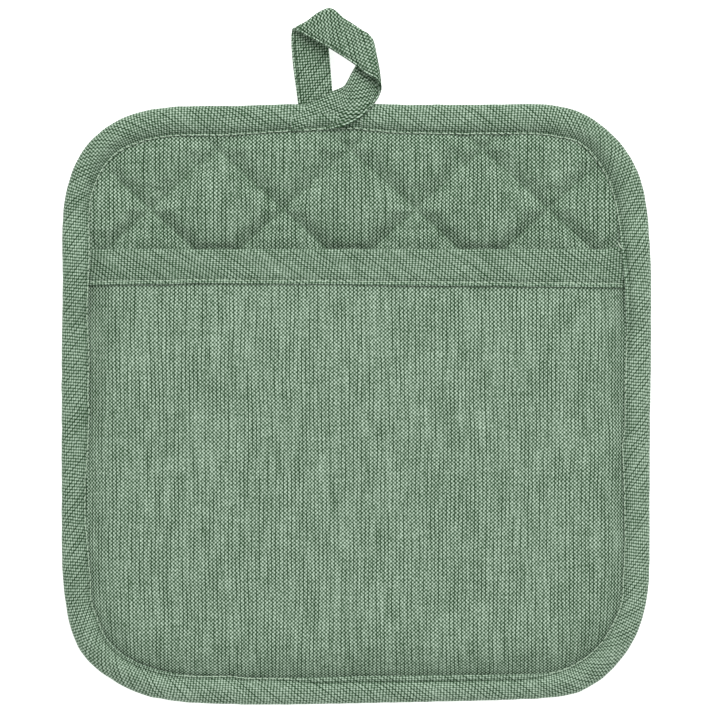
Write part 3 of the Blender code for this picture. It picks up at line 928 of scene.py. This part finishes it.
def smooth_through(rows, spacing):
    """A smooth curve through rows of numbers, with points about spacing apart."""
    ends = np.vstack((2 * rows[0] - rows[1], rows, 2 * rows[-1] - rows[-2]))
    result = []
    for index in range(1, len(ends) - 2):
        before, here, there, after = ends[index - 1:index + 3]
        count = max(1, int(round(np.linalg.norm((there - here)[:2]) / spacing)))
        for part in np.arange(count) / count:
            bend = 2 * before - 5 * here + 4 * there - after
            twist = 3 * here - before - 3 * there + after
            turn = (there - before) * part + bend * part ** 2 + twist * part ** 3
            result.append(0.5 * (2 * here + turn))
    result.append(rows[-1])
    return np.array(result)


def drag_lines(along, across, seed):
    """Unevenness drawn out along the slanted warp of a strip, between -1 and 1."""
    slant = along * 0.60 + across * 0.80
    length = along * 0.80 - across * 0.60
    fine = wobble(slant, length * 0.25, 2.6, seed)
    coarse = wobble(slant, length * 0.3, 7.0, seed + 3.0)
    return fine * 0.7 + coarse * 0.6


def sweep(stations, section):
    """For each point of a swept strip, the numbers of its station and of its section point."""
    station, place = np.indices((len(stations), len(section)))
    return station.ravel(), place.ravel()


# %% [markdown]
# ## Pocket band
# The strip is folded over the panel's top edge, with 13.6 mm showing. Its upper
# edge is a soft roll and its lower edge is turned in and stitched a good
# millimetre from the fold.

# %% Pocket band
# of each point: how far up from the lower edge, and how far off the panel's middle
BAND_SECTION = (
    (4.6, 0.75), (1.2, 0.75), (0.18, 0.85), (0.0, 1.15), (0.12, 1.42), (0.4, 1.54), (0.9, 1.44),
    (1.3, 1.20), (1.55, 1.02), (1.9, 1.22), (2.5, 1.48), (4.2, 1.76), (7.5, 1.92), (11.0, 2.05),
    (12.9, 1.95), (13.5, 1.35), (13.6, 0.3), (13.3, -1.0), (12.0, -1.45), (7.0, -1.40),
    (2.0, -1.30), (1.35, -1.15), (0.6, -1.30), (0.0, -1.05), (0.4, -0.80), (4.6, -0.75),
)
BAND_STITCH_UP = 1.5
BAND_STATION = 0.8
STITCH_PITCH = 2.6
BAND_HEM_SHORT = 6.5        # its stitches stop this far from the panel's edges
BAND_SEAMS = (0.92, -1.15)  # how far off the panel they lie, in front and inside
BAND_FOOT = ((-96.0, 42.7), (-56.0, 43.3), (-10.0, 42.9), (40.0, 42.3), (96.0, 41.8))


def band_point(along, up, off):
    """A point of the band from its place along, its height up the panel and its distance off it."""
    foot = np.interp(along, *np.array(BAND_FOOT).T) + 0.16 * wobble(along, 0.0, 9.0, 1.0)
    mouth = MOUTH_Y + 0.15 * wobble(along, 0.0, 30.0, 7.0) + 1.2 * ease(along, 88.0, 96.0)
    y = foot + up / BAND_WIDTH * (mouth - foot)
    inset = edge_of(along, np.full_like(along, MOUTH_Y - 4.0))[0]
    level = panel_height(along, np.minimum(y, PANEL_TOP_Y), inset) + PANEL_CLOTH / 2
    return np.column_stack((along, y, level + off))


def make_pocket_band():
    """The folded band and its row of stitches."""
    section = smooth_through(np.array(BAND_SECTION), SECTION_SPACING)
    beside_mouth = np.argmin(np.abs(OUTLINE[:, 1] - MOUTH_Y) + (OUTLINE[:, 0] > 0) * 99)
    half = -OUTLINE[beside_mouth, 0] - PANEL_EDGE_INSET
    stations = np.arange(-half, half, BAND_STATION)
    across = run_lengths(section)
    station, place = sweep(stations, section)
    along = stations[station]
    up, off = section[place].T
    length = across[place] - across[np.argmin(np.abs(section[:, 0]) + (section[:, 1] < 0) * 9)]
    showing = np.sign(off) * ease(up, 1.4, 3.5) * (1.0 - ease(up, 12.6, 13.5))
    swell = 0.13 * drag_lines(along, length, 4.0) + 0.10 * wobble(along, 0.0, 17.0, 9.0)
    pucker = 0.30 * np.minimum(wobble(along + 1.4 * up, 0.0, 2.4, 15.0), 0.1) * bell(up, 2.3, 0.8)
    points = band_point(along, up, off + showing * swell + pucker * (off > 1.0))
    faces = ladder(len(stations), len(section))
    band = make_piece("pocket_band_cloth", points, faces, strip_yarns(along, length), bias_cloth)
    hem = np.arange(-half + BAND_HEM_SHORT, half - BAND_HEM_SHORT, SEAM_STATION)
    rows = []
    for off in BAND_SEAMS:
        path = band_point(hem, np.full_like(hem, BAND_STITCH_UP), np.full_like(hem, off))
        rows.append(stitch_tubes(path, (0.0, 0.0, np.sign(off)), STITCH_PITCH))
    return band, make_stitches("band_stitches", rows, pale_thread)


pocket_band, band_stitches = make_pocket_band()

# %% [markdown]
# ## Edge binding
# The strip is folded round the edge of all the layers. Both raw edges are
# turned in, one row of stitches goes through everything, and between the
# stitches and the edge the strip stands up as a soft roll. It begins and ends
# under the hanging loop. It was sewn by hand and eye: its hem wanders, the
# stitches run close to the hem in some places and well outside it in others,
# and the roll swells out over the edge. Short lists say where, and where its
# cloth is paler. The thread pulls a groove beside the hem; painted shade darkens
# that groove and the folded edge of the hem.

# %% How the binding is folded and sewn
# of each point: how far in from the edge, how high, and its share of what lies under it
BINDING_SECTION = (
    (6.6, 1.45, 0.0), (9.6, 1.40, 0.0), (10.4, 1.20, 0.0), (10.6, 0.80, 0.0), (10.4, 0.42, 0.0),
    (10.0, 0.30, 0.0), (9.5, 0.42, 0.0), (8.7, 0.22, 0.0), (5.2, 0.12, 0.0), (3.2, 0.40, 0.0),
    (1.3, 1.20, 0.1), (0.3, 2.50, 0.3), (0.0, 3.70, 0.5), (0.3, 5.35, 0.8), (1.1, 6.75, 1.0),
    (2.5, 7.30, 1.0), (4.4, 7.50, 1.0), (5.8, 7.48, 1.0), (7.0, 7.28, 1.0), (8.0, 6.86, 1.0),
    (8.6, 6.50, 1.0), (8.95, 6.22, 1.0), (9.15, 6.00, 1.0), (9.3, 5.98, 1.0), (9.45, 6.08, 1.0),
    (9.7, 6.08, 1.0), (9.9, 5.92, 1.0), (10.0, 5.70, 1.0), (9.85, 5.57, 1.0), (9.0, 5.52, 1.0),
    (6.6, 5.55, 1.0),
)
BINDING_STATION = 0.8
BINDING_START_X = 2.0       # the strip begins here, under the loop
SECTION_HEM = 10.0
SECTION_GAP = 0.35
HEM_STITCH = (9.75, 5.92, 1.0)
GROOVE_STITCH = (9.15, 5.15, 1.0)
LOOSE_END_Y = 58.5          # where a short end of thread was left standing, on the right
BACK_STITCH = (9.5, 0.42, 0.0)
ROLL_INSET = 4.8
ROLL_WIDTH = 2.6
GROOVE_INSET = 9.15
GROOVE_WIDTH = 0.19
# where painted shade darkens the groove beside the hem, and how wide
GROOVE_SHADE_INSET = 9.12
GROOVE_SHADE_WIDTH = 0.16
FACE_ABOVE = 5.65           # the face of the strip lies higher than this, its turned-in part lower

# pairs of millimetres round the outline from the top, clockwise, and millimetres across
STITCH_GAP = (
    (0, 0.35), (64, 0.4), (72, 0.9), (88, 1.4), (104, 0.9), (112, 0.35), (255, 0.4), (268, 1.6),
    (305, 1.8), (340, 1.6), (352, 0.5), (389, 0.5), (398, 0.9), (428, 0.9), (438, 0.35),
    (760, 0.35),
)
EDGE_SWELL = (
    (0, 0.5), (17, 0.7), (32, 0.25), (49, 0.7), (60, 0.2), (72, -0.1), (88, 0.4), (117, 0.4),
    (136, 0.05), (169, -0.15), (195, -0.05), (214, 0.2), (230, 0.0), (247, 0.4), (260, -0.25),
    (280, 0.15), (306, 0.3), (348, 0.5), (370, 0.3), (384, 0.3), (401, 0.8), (416, 0.3), (432, 0.8),
    (450, -0.1), (468, 0.25), (540, 0.3), (566, -0.2), (592, 0.35), (615, 0.8), (628, 0.8),
    (656, 0.4), (676, 0.4), (689, 0.8), (722, 0.8), (734, 0.4), (767, 0.25),
)
PALER_STRIP = ((0, 0.0), (50, 0.0), (90, 0.15), (410, 0.15), (460, 0.04), (570, 0.02), (640, 0.0))


# %% Where a point of the binding lies
def binding_place(along):
    """The outline point, inward direction and run round the outline at a length along the strip."""
    start = int(np.argmin(np.abs(OUTLINE[:, 0] - BINDING_START_X) + (OUTLINE[:, 1] < 0) * 999))
    count = (start + along / OUTLINE_STEP) % OUTLINE_POINTS
    index = np.floor(count).astype(int) % OUTLINE_POINTS
    share = (count - np.floor(count))[:, None]
    after = (index + 1) % OUTLINE_POINTS
    place = OUTLINE[index] * (1.0 - share) + OUTLINE[after] * share
    inward = unit(INWARD[index] * (1.0 - share) + INWARD[after] * share)
    return place, inward, count * OUTLINE_STEP


def corner_weight(along):
    """1 in the middle of a corner, 0 on the straights."""
    inward = binding_place(along)[1]
    return np.clip(2.0 * np.abs(inward[:, 0] * inward[:, 1]), 0.0, 1.0) ** 0.7


def hem_shift(along, inset):
    """How far the hem lies from the section's, how far the stitches do, and how far the cloth follows."""
    run = binding_place(along)[2]
    hem = read_round(HEM_WIDTH, run) - SECTION_HEM + 0.10 * wobble(along, 0.0, 4.0, 13.0)
    gap = read_round(STITCH_GAP, run) - SECTION_GAP
    to_groove = ease(inset, 4.5, 8.8) * (1.0 - ease(inset, 9.3, 9.75))
    return hem, gap, hem * ease(inset, 3.0, 8.8) - gap * to_groove


def binding_point(along, inset, z, lift):
    """A point of the binding from its length along the strip and its place in the section."""
    place, inward, run = binding_place(along)
    gap, moved = hem_shift(along, inset)[1:]
    swell = read_round(EDGE_SWELL, run) + 0.10 * wobble(along, 0.0, 5.0, 11.0)
    roll = 0.22 * wobble(along, 0.0, 19.0, 17.0) + corner_weight(along)
    on_roll = bell(inset, ROLL_INSET, ROLL_WIDTH) * (z > 4.0)
    in_groove = bell(inset, GROOVE_INSET, GROOVE_WIDTH) * (z > FACE_ABOVE)
    groove = 0.26 + 0.12 * wobble(along, 0.0, 6.0, 29.0) + 0.16 * gap
    moved = moved - swell * (1.0 - ease(inset, 0.5, 7.0))
    height = z + lift * (POCKET_LIFT * over_pocket(place[:, 1]) + BAND_LIFT * at_band(place[:, 1]))
    height = height + on_roll * roll - in_groove * groove
    plan = place + inward * (inset + moved)[:, None]
    return np.column_stack((plan, height))


# %% The strip and its stitches
def make_edge_binding():
    """The folded strip and its stitches on both sides."""
    section = smooth_through(np.array(BINDING_SECTION), SECTION_SPACING)
    across = run_lengths(section[:, :2])
    hem = np.argmin(np.abs(section[:, 0] - SECTION_HEM) + (section[:, 1] < 4.0) * 9)
    stations = np.linspace(0.0, OUTLINE_LENGTH, int(OUTLINE_LENGTH / BINDING_STATION))
    station, place = sweep(stations, section)
    along = stations[station]
    inset, z, lift = section[place].T
    length = across[hem] - across[place]
    showing = ease(length, 1.9, 3.8) * (1.0 - ease(length, 12.0, 15.0))
    swell = 0.12 * drag_lines(along, length, 21.0) * showing
    pucker = 0.05 * np.cos(2 * np.pi * along / STITCH_PITCH) * bell(length, 1.9, 1.2)
    points = binding_point(along, inset - 0.4 * swell * (inset < 2.0), z + swell + pucker, lift)
    print(f"the strip of the binding is {across[-1]:.1f} mm wide when it is unfolded")
    faces = ladder(len(stations), len(section))
    hem, gap, moved = hem_shift(along, inset)
    width = length + hem - np.where(z > 3.6, moved, -moved)
    binding = make_piece("edge_binding_cloth", points, faces, strip_yarns(along, width), bias_cloth)
    # painted shade: darker in the groove beside the hem and at the hem's folded edge
    dark = (0.25 + 0.40 * gap) * bell(inset, GROOVE_SHADE_INSET, GROOVE_SHADE_WIDTH) + 0.3 * ease(inset, 9.9, 10.0)
    paler = read_round(PALER_STRIP, binding_place(along)[2])
    set_tone_and_shade(binding, paler - dark * (z > 5.6))
    return binding, make_stitches("binding_stitches", binding_seams(), pale_thread)


def binding_seams():
    """The stitches on both sides, and one loose end of thread."""
    rows = []
    marks = np.arange(0.0, OUTLINE_LENGTH, SEAM_STATION)
    off_hem = ease(read_round(STITCH_GAP, binding_place(marks)[2]), 0.5, 1.0)
    for near_hem, away, sign in ((HEM_STITCH, GROOVE_STITCH, 1.0), (BACK_STITCH, BACK_STITCH, -1.0)):
        place = [here + (there - here) * off_hem for here, there in zip(near_hem, away)]
        rows.append(stitch_tubes(binding_point(marks, *place), (0.0, 0.0, sign), STITCH_PITCH))
    off_level = np.abs(binding_place(marks)[0][:, 1] - LOOSE_END_Y)
    end = marks[np.argmin(off_level + (marks > OUTLINE_LENGTH / 2) * 999)]
    share = np.linspace(0.0, 1.0, 9)
    path = binding_point(end + 2.3 * share, 10.6 - 1.0 * share ** 2, 6.5 - 0.35 * share, np.ones(9))
    rows.append(stitch_tubes(path, (0.0, 0.0, 1.0), 9.0, gap=0.1, radius=0.25))
    return rows


edge_binding, binding_stitches = make_edge_binding()

# %% [markdown]
# ## Hanging loop
# The tail of the binding leaves the left side of the edge, folded double and
# stitched along its two turned-in edges. It turns over to the right, comes back
# on top, turns over again at the upper left and goes down behind. Cross lines
# from its folded edge "a" to its stitched edge "b" say where it lies, with one
# line more for each fold. Where it leaves, it still has the binding's rounded
# shape, so it is blended from one into the other there. Its seam lies in a deep
# groove, darkened with painted shade, the rolled edge on one face is darkened
# with painted shade too, and the folded lip outside the seam is paler.

# %% Route of the loop
# of each cross line: x and y of its end on edge a, x and y of its end on edge b, and its height
STRAP_OVER_BINDING = (
    (-23.0, 106.6, -23.6, 98.3, 8.15), (-15.9, 109.2, -16.3, 98.4, 8.20),
    (-9.2, 112.6, -10.4, 98.9, 8.20), (-4.8, 114.4, -4.6, 100.0, 8.20),
    (-3.2, 116.4, 0.4, 102.3, 8.15), (-1.4, 119.8, 4.2, 105.5, 8.10), (1.6, 124.6, 6.9, 108.7, 7.6),
)
RIGHT_FOLD = {"ax": 6.6, "ay": 130.6, "bx": 9.5, "by": 114.0, "z_in": 7.6, "z_out": 12.0, "slide": 6.0,
              "bend": 0.0, "tight": 0.43}
STRAP_ON_TOP = (
    (2.4, 134.4, 3.6, 118.7, 12.0), (0.0, 136.0, -1.0, 122.3, 11.6),
    (-2.4, 137.6, -6.6, 126.0, 11.0), (-4.6, 139.1, -12.0, 129.3, 10.2),
)
LEFT_FOLD = {"ax": -9.3, "ay": 143.0, "bx": -23.4, "by": 135.6, "z_in": 8.6, "z_out": 4.9, "slide": 2.2,
             "bend": 0.45, "tight": 0.65}
STRAP_BEHIND = (
    (-10.0, 131.5, -23.4, 129.3, 4.3), (-9.6, 125.2, -22.9, 123.0, 3.7),
    (-9.1, 119.4, -22.3, 118.0, 3.3), (-8.6, 113.4, -21.5, 112.4, 2.9),
    (-8.2, 108.0, -20.9, 107.6, 2.6),
)
LOOP_MIDDLE = np.array((-6.5, 121.0))
STRAP_HALF = 0.8
FOLD_STEPS = 8
STRAP_STATION = 0.8


def fold_lines(row):
    """Cross lines round one fold, from the level before it to the level after."""
    start = np.array((row["ax"], row["ay"]))
    end = np.array((row["bx"], row["by"]))
    line = unit(end - start)
    away = np.array((line[1], -line[0]))
    if np.dot(away, (start + end) / 2 - LOOP_MIDDLE) < 0:
        away = -away
    middle = (row["z_out"] + row["z_in"]) / 2
    climb = (row["z_out"] - row["z_in"]) / 2
    rows = []
    for angle in np.linspace(-np.pi / 2, np.pi / 2, FOLD_STEPS):
        roll = abs(climb) * (np.cos(angle) - 1.0)
        slide = line * row["slide"] * np.sign(climb) * angle / np.pi
        bend = away * row["bend"]
        reach = away * (roll * row["tight"] - STRAP_HALF)
        ends = (*(start + reach - slide), *(end + reach - slide))
        rows.append((*ends, middle + climb * np.sin(angle), *bend))
    return rows


def flat_lines(table):
    """Cross lines of a stretch that lies flat."""
    return [(*row, 0.0, 0.0) for row in table]


def strap_route():
    """Both edges of the strap, its up direction and how its cross lines bend, all along it."""
    rows = flat_lines(STRAP_OVER_BINDING) + fold_lines(RIGHT_FOLD) + flat_lines(STRAP_ON_TOP)
    rows += fold_lines(LEFT_FOLD) + flat_lines(STRAP_BEHIND)
    rows = smooth_through(np.array(rows), STRAP_STATION)
    edge_a = rows[:, (0, 1, 4)]
    edge_b = rows[:, (2, 3, 4)]
    bend = np.column_stack((rows[:, 5:], np.zeros(len(rows))))
    travel = np.gradient((edge_a + edge_b) / 2, axis=0)
    return edge_a, edge_b, unit(np.cross(edge_b - edge_a, travel)), bend


# %% How the strap of the loop is folded
# of each point: its share of the way from the stitched to the folded edge, and its height
# in halves of the strap's thickness
STRAP_SECTION = (
    (0.3, 0.12), (0.05, 0.12), (0.008, 0.18), (0.0, 0.36), (0.01, 0.58), (0.03, 0.76), (0.05, 0.78),
    (0.067, 0.52), (0.079, 0.20), (0.092, 0.46), (0.112, 0.80), (0.16, 0.98), (0.3, 1.05),
    (0.6, 1.05), (0.87, 1.08), (0.965, 0.80), (1.0, 0.00), (0.965, -0.80), (0.87, -1.08),
    (0.6, -1.05), (0.3, -1.05), (0.16, -0.98), (0.112, -0.80), (0.092, -0.46), (0.079, -0.20),
    (0.067, -0.52), (0.05, -0.74), (0.032, -0.66), (0.018, -0.44), (0.018, -0.24), (0.05, -0.14),
    (0.3, -0.12),
)
STRAP_LEAVES = (9.0, 24.0)  # where along the strap the binding's shape ends
STRAP_CLEAR = 0.07
STRAP_WIDTH = 14.0          # a usual width, for spacing the section's points
SEAM_ACROSS = 0.079
SEAM_LEVEL = 0.1
LIP_ACROSS = 0.052          # the paler lip outside the seam
# where painted shade darkens the seam's groove
GROOVE_SHADE_ACROSS = 0.082
SHADE_WIDTH = 0.013
LOOP_WARP = np.array((0.948, 1.130))
LOOP_WEFT = np.array((1.079, -1.042))


# %% [markdown]
# ## Unfolding the loop
# The weave needs the strap laid out flat. Each corner of a cross line is found
# from its distances to both corners of the line before it, so the yarns run on
# round both folds as they do in cloth.

# %% The strap laid out flat
def next_corner(flat_a, flat_b, from_a, from_b):
    """The flat place ahead of a cross line at given distances from its two ends."""
    line = flat_a - flat_b
    reach = np.linalg.norm(line)
    up_line = (from_b ** 2 - from_a ** 2 + reach ** 2) / (2 * reach)
    ahead = math.sqrt(max(from_b ** 2 - up_line ** 2, 0.0))
    return flat_b + (line * up_line + np.array((line[1], -line[0])) * ahead) / reach


def unfolded(edge_a, edge_b, run, turning):
    """Both edges of the strap laid out flat; from the first fold on, cross line by cross line."""
    reach = np.linalg.norm(edge_a - edge_b, axis=1)
    slant = np.sum(unit(edge_a - edge_b) * unit(np.gradient((edge_a + edge_b) / 2, axis=0)), axis=1)
    half = np.column_stack((reach * slant, reach * np.sqrt(1.0 - slant ** 2))) / 2
    middle = np.column_stack((run, np.full(len(run), STRAP_WIDTH / 2)))
    flat_a, flat_b = middle + half, middle - half
    for index in range(turning, len(run) - 1):
        here, there = index, index + 1
        span = [np.linalg.norm(end[there] - start[here])
                for end in (edge_a, edge_b) for start in (edge_a, edge_b)]
        flat_a[there] = next_corner(flat_a[here], flat_b[here], span[0], span[1])
        flat_b[there] = next_corner(flat_a[here], flat_b[here], span[2], span[3])
    return flat_a, flat_b


# %% The loop and its stitches
def binding_face_height(inset):
    """Height of the binding's face at a distance from the edge."""
    face = [(inset, z) for inset, z, _ in BINDING_SECTION if z > 5.6 or 3.6 < z < 5.3]
    return np.interp(inset, *np.array(sorted(face)).T)


def strap_surface(edge_a, edge_b, up, bend, run, across, height):
    """A point of the strap, shaped like the binding where it leaves it."""
    place = edge_b + (edge_a - edge_b) * across[:, None] + up * (height * STRAP_HALF)[:, None]
    place = place - bend * np.sin(2 * np.pi * across)[:, None]
    over = 1.0 - ease(run, *STRAP_LEAVES)
    own_inset = (1.0 - across) * np.linalg.norm(edge_a - edge_b, axis=1)
    leaving = ease(run, 0.0, 6.0)
    inset = edge_of(place[:, 0], place[:, 1])[0] * (1.0 - leaving) + own_inset * leaving
    bound = binding_face_height(inset) + STRAP_CLEAR
    bound = np.where(height > 0.0, bound + 0.15 * (height - 1.0), bound - 0.35)
    place[:, 2] = place[:, 2] * (1.0 - over) + bound * over
    return place


def make_hanging_loop():
    """The strap and its stitches."""
    edge_a, edge_b, up, bend = strap_route()
    middle = (edge_a + edge_b) / 2
    run = run_lengths(middle)
    rows = np.array(STRAP_SECTION) * (STRAP_WIDTH, STRAP_HALF)
    section = smooth_through(rows, 0.4) / (STRAP_WIDTH, STRAP_HALF)
    station, place = sweep(run, section)
    along = run[station]
    across, height = section[place].T
    showing = ease(across, 0.08, 0.18) * (1.0 - ease(across, 0.93, 0.99)) * np.sign(height)
    swell = showing * 0.14 * drag_lines(along, across * STRAP_WIDTH + (height < 0) * 40.0, 31.0)
    edges = [rows[station] for rows in (edge_a, edge_b, up, bend)]
    points = strap_surface(*edges, along, across, height + swell / STRAP_HALF)
    turning = int(np.argmax(up[:, 2] < 0.9))
    behind = len(run) - int(np.argmax(up[::-1, 2] < 0.0))
    flat_a, flat_b = unfolded(edge_a, edge_b, run, turning)
    tilt = np.zeros(len(run))
    tilt[turning:] = np.arctan2(*(flat_a[behind] - flat_a[turning])[::-1])
    tilt[behind:] = np.arctan2(*(flat_a[-1] - flat_a[behind])[::-1])
    turns = np.degrees(tilt[[turning, behind]]).round(1)
    print("the unfolded strap turns by", turns, "degrees at its folds")
    onward = np.column_stack((np.cos(tilt), np.sin(tilt)))
    outward = np.column_stack((-np.sin(tilt), np.cos(tilt)))
    corner_a, corner_b, onward, outward = [rows[station] for rows in (flat_a, flat_b, onward, outward)]
    flat = corner_b + (corner_a - corner_b) * across[:, None]
    past_edge = 2.0 * np.sum((corner_a - flat) * outward, axis=1) * (height < 0.0)
    flat = flat + outward * past_edge[:, None]
    flat = np.column_stack((np.sum(flat * onward, axis=1), np.sum(flat * outward, axis=1)))
    yarns = np.column_stack((flat @ LOOP_WARP, flat @ LOOP_WEFT))
    faces = ladder(len(run), len(section))
    loop = make_piece("hanging_loop_cloth", points, faces, yarns, loop_cloth)
    # painted shade on the rolled edge of one face and in the seam's groove
    rolled_edge_shade = 0.4 * (1.0 - ease(across, 0.02, 0.035)) * (height < 0.0)
    groove = 0.9 * bell(across, GROOVE_SHADE_ACROSS, SHADE_WIDTH)
    pale_lip = 0.9 * bell(across, LIP_ACROSS, SHADE_WIDTH) * ease(along, 14.0, 30.0)
    set_tone_and_shade(loop, pale_lip - rolled_edge_shade - groove)
    seams = []
    for level in (SEAM_LEVEL, -SEAM_LEVEL):
        across, height = np.full_like(run, SEAM_ACROSS), np.full_like(run, level)
        path = strap_surface(edge_a, edge_b, up, bend, run, across, height)
        seams.append(stitch_tubes(path, up * np.sign(level), STITCH_PITCH, radius=0.14))
    return loop, make_stitches("loop_stitches", seams, thread_in_painted_shade)


hanging_loop, loop_stitches = make_hanging_loop()

# %% [markdown]
# ## What each piece stands for
# Every piece rides on the one body and takes the place of its solid. A strip's
# flat width is the length of its folded section, and its length is the run of
# the edge or of the loop.

# %% Riding and replacing
PIECES = (
    {"cloth": quilted_back, "node": "quilted_back", "thread": quilting_thread},
    {"cloth": pocket_panel, "node": "pocket_panel", "thread": None},
    {"cloth": pocket_band, "node": "pocket_band", "thread": band_stitches},
    {"cloth": edge_binding, "node": "edge_binding", "thread": binding_stitches},
    {"cloth": hanging_loop, "node": "hanging_loop", "thread": loop_stitches},
)
for row in PIECES:
    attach(row["cloth"], "root")
    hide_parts(row["node"])
    if row["thread"] is not None:
        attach(row["thread"], "root")
